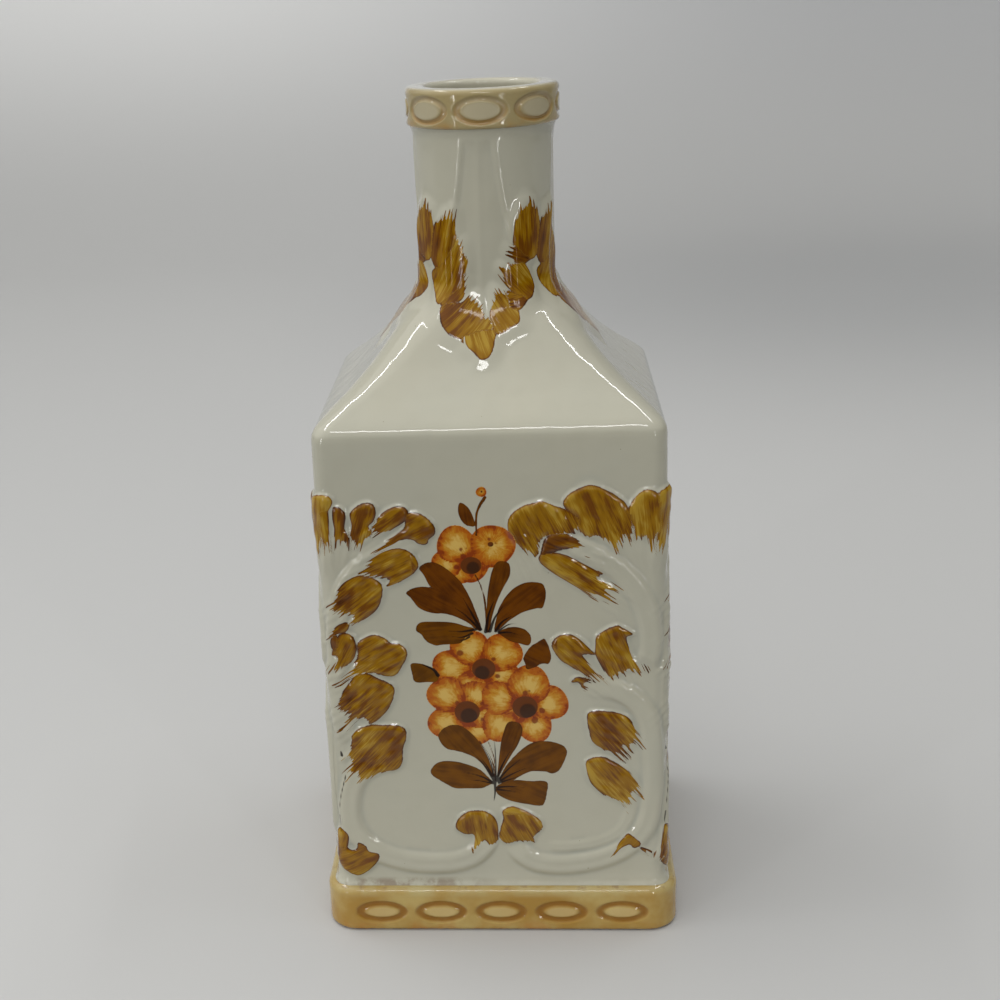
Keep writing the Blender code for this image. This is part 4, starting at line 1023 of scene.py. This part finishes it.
floor_top = vessel_low.z + FLOOR_THICKNESS
profile = [(FLOOR_UNDER, vessel_low.z), (BODY_WALL, vessel_low.z), (BODY_WALL, floor_top + FLOOR_FILLET)]
profile += [(BODY_WALL + past, floor_top + left) for past, left in quarter_round(FLOOR_FILLET, 8)]
floor_rings = []
for inset, height in profile:
    ring, _ = sided_ring(vessel_high.x - inset, vessel_high.y - inset, BODY_CORNER, FLOOR_FLATS, FLOOR_ARCS)
    floor_rings.append(at_height(ring, height))
ring, _ = sided_ring(*FLOOR_MIDDLE, BODY_CORNER, FLOOR_FLATS, FLOOR_ARCS)
floor_rings.append(at_height(ring, floor_top))
vessel_floor = loft("vessel_floor", np.stack(floor_rings), False, bare_clay())
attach(vessel_floor, "root")
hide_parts("vessel")

# The plinth: a moulded foot of the same clay under a honey glaze that ran thin on its ledge and gathered in
# the row of ovals pressed into each side. It is stuck on with slip before firing, and stands on a foot ring.
PLINTH_CORNER = 9.5 * MM
PLINTH_EDGE = 2.4 * MM
FOOT_EDGE = 1.6 * MM
FOOT_RING_WIDTH = 12.0 * MM
FOOT_RING_MIDDLE = 7.0 * MM
FOOT_RING_THICKNESS = 2.7 * MM
PLINTH_OVAL_WIDTH, PLINTH_OVAL_HEIGHT = 16.6 * MM, 7.9 * MM
PLINTH_OVALS = 5
PLINTH_OVAL_REACH = 92.0 * MM                # the run of five ovals on the front
PLINTH_BOSS_WIDTH, PLINTH_BOSS_HEIGHT = 10.0 * MM, 3.5 * MM
PLINTH_OVAL_MIDDLE = 6.75 * MM
OVAL_DEPTH = 0.60 * MM
SEAT_GAP = 0.3 * MM
PLINTH_FLATS, PLINTH_ARCS = 215, 36


def oval_press():
    """A node tree that presses a row of oval grooves into a fine skin. The skin's own readings say how far
    along its side each point lies, the spacing of the ovals there, and where it may be pressed."""
    tree = bpy.data.node_groups.new("oval_press", "GeometryNodeTree")
    sizes = ("Oval width", "Oval height", "Boss width", "Boss height", "Groove depth", "Middle height")
    sockets = [("Geometry", "Geometry"), *[(name, "Float") for name in sizes], ("Finish", "Material")]
    for name, kind in sockets:
        tree.interface.new_socket(name, in_out="INPUT", socket_type="NodeSocket" + kind)
    tree.interface.new_socket("Geometry", in_out="OUTPUT", socket_type="NodeSocketGeometry")
    mix = Mixer(tree)
    given = mix.node("NodeGroupInput").outputs

    def reading(name):
        return mix.node("GeometryNodeInputNamedAttribute", name, data_type="FLOAT").outputs["Attribute"]

    def within_one(value):
        return mix.sum("MINIMUM", mix.sum("MAXIMUM", value, 0.0), 1.0)

    half_spacing = mix.times(reading("spacing"), 0.5)
    across = mix.sum("WRAP", reading("along"), half_spacing, mix.times(half_spacing, -1.0))
    height = mix.node("ShaderNodeSeparateXYZ", mix.node("GeometryNodeInputPosition").outputs[0])
    up = mix.minus(height.outputs["Z"], given["Middle height"])

    def shares(width, tall):
        share_across = mix.sum("DIVIDE", across, mix.times(given[width], 0.5))
        share_up = mix.sum("DIVIDE", up, mix.times(given[tall], 0.5))
        squares = mix.plus(mix.times(share_across, share_across), mix.times(share_up, share_up))
        return mix.sum("DIVIDE", 1.0, mix.sum("SQRT", mix.sum("MAXIMUM", squares, 0.0001)))

    edge, boss = shares("Oval width", "Oval height"), shares("Boss width", "Boss height")
    way_out = within_one(mix.sum("DIVIDE", mix.minus(1.0, boss), mix.minus(edge, boss)))
    trough = mix.times(way_out, mix.minus(1.0, way_out), 4.0)
    pressed = mix.times(mix.sum("POWER", trough, 0.85), reading("pressable"))
    on_boss = mix.times(within_one(mix.times(mix.minus(boss, 0.9), 3.0)), reading("pressable"))

    def store(geometry, name, value):
        made = mix.node("GeometryNodeStoreNamedAttribute", geometry, data_type="FLOAT", domain="POINT")
        made.inputs["Name"].default_value = name
        mix.feed(made.inputs["Value"], value)
        return made.outputs[0]

    normal = mix.node("GeometryNodeInputNormal").outputs[0]
    into = mix.node("ShaderNodeVectorMath", normal, operation="SCALE")
    mix.feed(into.inputs["Scale"], mix.times(pressed, given["Groove depth"], -1.0))
    stored = store(store(given["Geometry"], "pool", pressed), "boss", on_boss)
    move = mix.node("GeometryNodeSetPosition", stored)
    mix.feed(move.inputs["Offset"], into.outputs[0])
    dress = mix.node("GeometryNodeRealizeInstances", move.outputs[0])
    dress = mix.node("GeometryNodeSetMaterial", dress.outputs[0])
    mix.feed(dress.inputs["Material"], given["Finish"])
    mix.node("NodeGroupOutput", dress.outputs[0])
    return tree


def press_ovals(piece, tree, finish, **sizes):
    """Runs the press on a piece and keeps the result as a plain mesh."""
    press = piece.modifiers.new("oval press", "NODES")
    press.node_group = tree
    inputs = {item.name: item.identifier for item in tree.interface.items_tree if item.in_out == "INPUT"}
    press[inputs["Finish"]] = finish
    for name, size in sizes.items():
        press[inputs[name.replace("_", " ").capitalize()]] = size
    bpy.context.view_layer.update()
    pressed = bpy.data.meshes.new_from_object(piece.evaluated_get(bpy.context.evaluated_depsgraph_get()))
    piece.modifiers.remove(press)
    plain, piece.data = piece.data, pressed
    bpy.data.meshes.remove(plain)
    pressed.shade_smooth()


def pooled(glaze, size, spread, level, full):
    """The share of colour that gathered in the grooves, uneven by a cloud of so many millimetres."""
    uneven = glaze.times(glaze.minus(glaze.cloud(size, 3.0), 0.5), spread)
    pool = glaze.times(glaze.reading("pool"), glaze.plus(uneven, level))
    return glaze.step(pool, 0.0, full, 0.0, full)


def honey_glaze():
    glaze = Glaze("honey_glaze")
    up = glaze.split_place()[2]
    warm = glaze.times(glaze.step(up, 5.0 * MM, 1.0 * MM), glaze.patches(11.0, 3.0, 0.42, 0.62))
    ledge = glaze.step(up, 11.2 * MM, 14.0 * MM)
    thinned = glaze.blend(glaze.patches(8.0, 4.0, 0.34, 0.66), (180, 165, 116), (172, 146, 86))
    caught = glaze.patches(3.4, 4.0, 0.55, 0.68, roughness=0.65)
    grime = glaze.times(glaze.step(up, 13.2 * MM, 14.8 * MM), caught)
    worn = glaze.times(glaze.step(up, 1.2 * MM, 0.2 * MM), glaze.patches(3.0, 4.0, 0.46, 0.6))
    honey = glaze.over(
        glaze.blend(glaze.patches(18.0, 4.0, 0.34, 0.66), (186, 162, 98), (166, 129, 56)),
        (glaze.times(warm, 0.75), (172, 112, 40)),
        (glaze.times(ledge, 0.85), thinned),
        (glaze.times(glaze.reading("boss"), 0.65), (204, 180, 124)),
        (pooled(glaze, 5.0, 0.9, 0.92, 0.95), (142, 96, 24)),
        (glaze.times(grime, 0.6), (138, 112, 84)),
        (glaze.specks(8.0, 0.5, 0.72), (80, 60, 34)),
        (worn, (110, 84, 50)))
    roughness = glaze.patches(4.0, 3.0, 0.3, 0.7, 0.14, 0.26)
    return glaze.finish(honey, roughness, glaze.ripple(6.0, 1.4, 0.25), 0.22 * MM)


half_x, half_y = plinth_high.x, plinth_high.y
face_top = plinth_high.z - PLINTH_EDGE
profile = [(inset, 0.0, 0.0) for inset in (FOOT_RING_WIDTH, FOOT_RING_MIDDLE, FOOT_EDGE)]
profile += [(left, past, 0.0) for past, left in quarter_round(FOOT_EDGE, 6)]
profile += [(0.0, height, 1.0) for height in np.linspace(FOOT_EDGE, face_top, 31)[1:]]
profile += [(past, plinth_high.z - left, 0.0) for past, left in quarter_round(PLINTH_EDGE, 8)]
loops, pressable, along = [], [], None
for inset, height, face in profile:
    corner = PLINTH_CORNER if inset > PLINTH_EDGE else PLINTH_CORNER - inset
    ring, distances = sided_ring(half_x - inset, half_y - inset, corner, PLINTH_FLATS, PLINTH_ARCS)
    if face and along is None:
        along = distances
    loops.append(at_height(ring, height))
    pressable.append(np.full(len(ring), face))
socket_x, socket_y = vessel_high.x + SEAT_GAP, vessel_high.y + SEAT_GAP
under_x, under_y = half_x - FOOT_RING_WIDTH, half_y - FOOT_RING_WIDTH
for ring_x, ring_y, corner, height in ((socket_x, socket_y, BODY_CORNER, plinth_high.z),
                                       (socket_x, socket_y, BODY_CORNER, FOOT_RING_THICKNESS),
                                       (under_x, under_y, PLINTH_CORNER, FOOT_RING_THICKNESS)):
    ring, _ = sided_ring(ring_x, ring_y, corner, PLINTH_FLATS, PLINTH_ARCS)
    loops.append(at_height(ring, height))
    pressable.append(np.zeros(len(ring)))
spacing = np.repeat([PLINTH_OVAL_REACH, PLINTH_OVAL_REACH * half_y / half_x] * 2, PLINTH_FLATS + PLINTH_ARCS)
spacing = spacing / PLINTH_OVALS
in_row = np.abs(along) < spacing * PLINTH_OVALS / 2
pressable = np.stack(pressable) * in_row
press = oval_press()
plinth = loft("plinth_foot", np.stack(loops), True, bpy.data.materials.new("unglazed"), {
    "along": np.broadcast_to(along, pressable.shape), "spacing": np.broadcast_to(spacing, pressable.shape),
    "pressable": pressable})
press_ovals(plinth, press, honey_glaze(), oval_width=PLINTH_OVAL_WIDTH, oval_height=PLINTH_OVAL_HEIGHT,
            boss_width=PLINTH_BOSS_WIDTH, boss_height=PLINTH_BOSS_HEIGHT, groove_depth=OVAL_DEPTH,
            middle_height=PLINTH_OVAL_MIDDLE)
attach(plinth, "root")
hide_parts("plinth")

# The mouth collar: a thrown ring with eight pressed ovals under an ivory glaze that turned tan where it
# gathered. It is socketed over the neck's tongue and sealed by the glaze.
COLLAR_EDGE = 0.9 * MM
COLLAR_LIP = 1.7 * MM
COLLAR_SOCKET_DEPTH = 5.0 * MM
COLLAR_OVALS = 8
COLLAR_OVAL_HEIGHT = 8.2 * MM
COLLAR_OVAL_LAND = 1.4 * MM
COLLAR_BOSS_WIDTH, COLLAR_BOSS_HEIGHT = 11.2 * MM, 5.0 * MM
COLLAR_COLUMNS = 520
collar_radius = collar_high.x
top, bottom = collar_high.z, collar_low.z


def ivory_glaze():
    glaze = Glaze("ivory_glaze")
    x, y, z = glaze.split_place()
    sunk = glaze.step(z, top - 3.0 * MM, bottom + 2.0 * MM, 0.45, 1.1)
    drip = glaze.step(z, bottom + 3.2 * MM, bottom + 0.4 * MM)
    drip = glaze.times(drip, glaze.patches(6.0, 3.0, 0.42, 0.64))
    # Painted light: the inner part of the ring's top and its bore, which lie in shade, are made paler as if
    # lit.
    aside = glaze.vector(x, y, 0.0)
    from_axis = glaze.node("ShaderNodeVectorMath", aside, operation="LENGTH").outputs["Value"]
    lip = glaze.times(glaze.step(from_axis, collar_radius - 0.2 * MM, collar_radius - 1.4 * MM),
                      glaze.step(z, bottom + 1.5 * MM, bottom + 4.0 * MM))
    ivory = glaze.over(
        glaze.blend(glaze.cloud(9.0, 3.0), (170, 157, 118), (160, 141, 94)),
        (glaze.times(glaze.reading("boss"), 0.8), (186, 177, 150)),
        (pooled(glaze, 4.0, 0.8, sunk, 0.9), (158, 124, 64)),
        (glaze.times(drip, 0.6), (168, 126, 66)),
        # painted light on the ring's top and bore
        (lip, (188, 184, 165)),
        (glaze.specks(6.0, 0.3, 0.74), (120, 92, 56)))
    roughness = glaze.patches(4.0, 3.0, 0.3, 0.7, 0.11, 0.2)
    return glaze.finish(ivory, roughness, glaze.ripple(5.0, 1.3, 0.2), 0.18 * MM)


face_foot, face_top = bottom + COLLAR_EDGE, top - COLLAR_LIP
socket_radius = TONGUE_RADIUS + SEAT_GAP
socket_top = bottom + COLLAR_SOCKET_DEPTH
profile = [(BORE_RADIUS, socket_top, 0.0), (socket_radius, socket_top, 0.0), (socket_radius, bottom, 0.0),
           (collar_radius - COLLAR_EDGE, bottom, 0.0)]
profile += [(collar_radius - left, bottom + past, 0.0) for past, left in quarter_round(COLLAR_EDGE, 5)]
profile += [(collar_radius, height, 1.0) for height in np.linspace(face_foot, face_top, 35)[1:]]
profile += [(collar_radius - past, top - left, 0.0) for past, left in quarter_round(COLLAR_LIP, 6)]
profile += [(BORE_RADIUS + left, top - past, 0.0) for past, left in quarter_round(COLLAR_LIP, 6)]
turns = np.arange(COLLAR_COLUMNS) * 2 * math.pi / COLLAR_COLUMNS - math.pi / 2
loops = np.stack([at_height(np.stack([radius * np.cos(turns), radius * np.sin(turns)], axis=1), height)
                  for radius, height, _ in profile])
faces = np.array([face for _, _, face in profile])
along = (turns + math.pi / 2) * collar_radius
spacing = 2 * math.pi * collar_radius / COLLAR_OVALS
shape = loops.shape[:2]
collar = loft("mouth_ring", loops, True, bpy.data.materials.new("unglazed"), {
    "along": np.broadcast_to(along, shape), "spacing": np.full(shape, spacing),
    "pressable": np.broadcast_to(faces[:, None], shape)})
press_ovals(collar, press, ivory_glaze(), oval_width=spacing - COLLAR_OVAL_LAND,
            oval_height=COLLAR_OVAL_HEIGHT, boss_width=COLLAR_BOSS_WIDTH, boss_height=COLLAR_BOSS_HEIGHT,
            groove_depth=OVAL_DEPTH, middle_height=(face_foot + face_top) / 2)
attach(collar, "root")
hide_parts("mouth_collar")

# The floor and backdrop: one pale paper sweep, with painted light that makes it brighter to the left once it
# rises, and a faint painted shadow behind the decanter on the right.
SWEEP_HALF = 2.2
SWEEP_FRONT, SWEEP_BACK, SWEEP_TOP = -2.2, 1.7, 2.4
SWEEP_BEND = 0.6
PAINTED_SHADOW_SPOT = (0.30, 0.90, 0.0)


def pale_sweep():
    """The paper. In front of the decanter, what it reflects is darker than what the camera sees."""
    paper = Glaze("pale_paper")
    x, y, z = paper.split_place()
    # Painted light: the paper is a little paler to the left, and far paler to the left where it rises, as if
    # lit from there.
    near = paper.blend(paper.step(x, -0.28, 0.22), (194, 194, 192), (190, 190, 188))
    risen = paper.blend(paper.step(x, -0.45, 0.45), (255, 255, 253), (200, 201, 202))
    away = paper.node("ShaderNodeVectorMath", paper.place, PAINTED_SHADOW_SPOT, operation="DISTANCE").outputs["Value"]
    unseen = paper.minus(1.0, paper.node("ShaderNodeLightPath").outputs["Is Camera Ray"])
    colour = paper.over(
        paper.blend(paper.step(z, 0.0, 0.35), near, risen),
        # A painted shadow on the paper behind the decanter, to its right.
        (paper.step(away, 0.55, 0.05, 0.0, 0.6), (158, 159, 159)),
        (paper.times(paper.step(y, -0.10, -0.30), unseen), (96, 96, 96)))
    paper.feed(paper.shader.inputs["Base Color"], colour)
    paper.shader.inputs["Roughness"].default_value = 0.75
    paper.shader.inputs["Specular IOR Level"].default_value = 0.2
    return paper.material


path = [(SWEEP_FRONT, 0.0), (SWEEP_BACK - SWEEP_BEND, 0.0)]
path += [(SWEEP_BACK - left, past) for past, left in quarter_round(SWEEP_BEND, 24)]
path.append((SWEEP_BACK, SWEEP_TOP))
points = [(side * SWEEP_HALF, y, z) for y, z in path for side in (-1, 1)]
quads = [(2 * step, 2 * step + 1, 2 * step + 3, 2 * step + 2) for step in range(len(path) - 1)]
sweep_mesh = bpy.data.meshes.new("paper_sweep")
sweep_mesh.from_pydata(points, [], quads)
sweep_mesh.shade_smooth()
sweep_mesh.materials.append(pale_sweep())
sweep = placed("paper_sweep", sweep_mesh)

# Light and camera: a strip overhead to each side for the hips, a window high in front for the top edge, an
# upright strip each side of the camera for the neck, a soft wall and sky on the left, and a camera that
# looks down at the decanter from a little right of its middle.
LIT_FROM = Vector((0.0, 0.0, 0.17))          # the lamps face this point
SKY_BEHIND = 0.48                            # what the camera sees past the paper


def soft_lamp(name, start, end, tall, brightness):
    """A lamp panel between two ends that faces the decanter, so many times as bright as white paper."""
    start, end = Vector(start), Vector(end)
    middle = (start + end) / 2
    along = (end - start).normalized()
    away = middle - LIT_FROM
    away = (away - away.dot(along) * along).normalized()
    lamp = bpy.data.lights.new(name, "AREA")
    lamp.shape = "RECTANGLE"
    lamp.size, lamp.size_y = (end - start).length, tall
    lamp.energy = brightness * math.pi * lamp.size * lamp.size_y
    made = placed(name, lamp)
    made.location = middle
    made.rotation_euler = Matrix((along, away.cross(along), away)).transposed().to_euler()
    made.visible_camera = False


soft_lamp("left hip strip", (-0.72, -0.25, 1.22), (-0.56, 0.62, 1.30), 0.036, 26.0)
soft_lamp("right hip strip", (0.60, -0.25, 1.30), (0.50, 0.62, 1.36), 0.036, 24.0)
soft_lamp("front window", (-0.27, -0.86, 1.09), (0.23, -0.89, 0.98), 0.10, 15.0)
soft_lamp("left strip", (-0.514, -0.613, 0.02), (-0.514, -0.613, 0.38), 0.018, 32.0)
soft_lamp("right strip", (0.376, -0.706, 0.02), (0.376, -0.706, 0.38), 0.018, 30.0)
soft_lamp("left wall", (-1.30, -0.75, 0.60), (-1.30, 0.25, 0.60), 1.0, 0.15)
world = bpy.data.worlds.new("room")
bpy.context.scene.world = world
world.use_nodes = True
sky = Mixer(world.node_tree)
light = sky.tree.nodes["Background"].inputs
way = sky.node("ShaderNodeSeparateXYZ", sky.node("ShaderNodeTexCoord").outputs["Generated"]).outputs
overhead = sky.node("ShaderNodeMapRange", way["Z"], 0.0, 1.0, 0.05, 1.12).outputs[0]
to_left = sky.node("ShaderNodeMapRange", way["X"], -1.0, 1.0, 1.70, 0.20).outputs[0]
backdrop = sky.node("ShaderNodeMix", sky.node("ShaderNodeLightPath").outputs["Is Camera Ray"])
sky.feed(backdrop.inputs["A"], sky.times(overhead, to_left))
sky.feed(backdrop.inputs["B"], SKY_BEHIND)
sky.feed(light["Strength"], backdrop.outputs["Result"])
sky.feed(light["Color"], (1.0, 1.0, 1.0, 1.0))

CAMERA_PLACE = (13.17 * MM, -476.71 * MM, 285.27 * MM)
CAMERA_PITCH, CAMERA_YAW, CAMERA_ROLL = math.radians(-18.678), math.radians(-5.117), math.radians(-2.818)
FOCAL_SHARE = 1.60368                        # the focal length as a share of the frame's width
FRAME_SHIFT = 0.1                            # the same, for how far the frame lies off the lens's middle
SENSOR = 36.0
ahead = Vector((math.sin(CAMERA_YAW) * math.cos(CAMERA_PITCH), math.cos(CAMERA_YAW) * math.cos(CAMERA_PITCH),
                math.sin(CAMERA_PITCH)))
level = ahead.cross(Vector((0.0, 0.0, 1.0))).normalized()
upright = level.cross(ahead)
right = level * math.cos(CAMERA_ROLL) + upright * math.sin(CAMERA_ROLL)
above = upright * math.cos(CAMERA_ROLL) - level * math.sin(CAMERA_ROLL)
camera = bpy.data.cameras.new("camera")
camera.sensor_width = SENSOR
camera.lens = FOCAL_SHARE * SENSOR
camera.shift_x = FRAME_SHIFT
camera.clip_start = 0.01
viewer = placed("camera", camera)
viewer.rotation_euler = Matrix((right, above, -ahead)).transposed().to_euler()
viewer.location = CAMERA_PLACE
bpy.context.scene.camera = viewer
bpy.context.scene.view_settings.view_transform = "Standard"
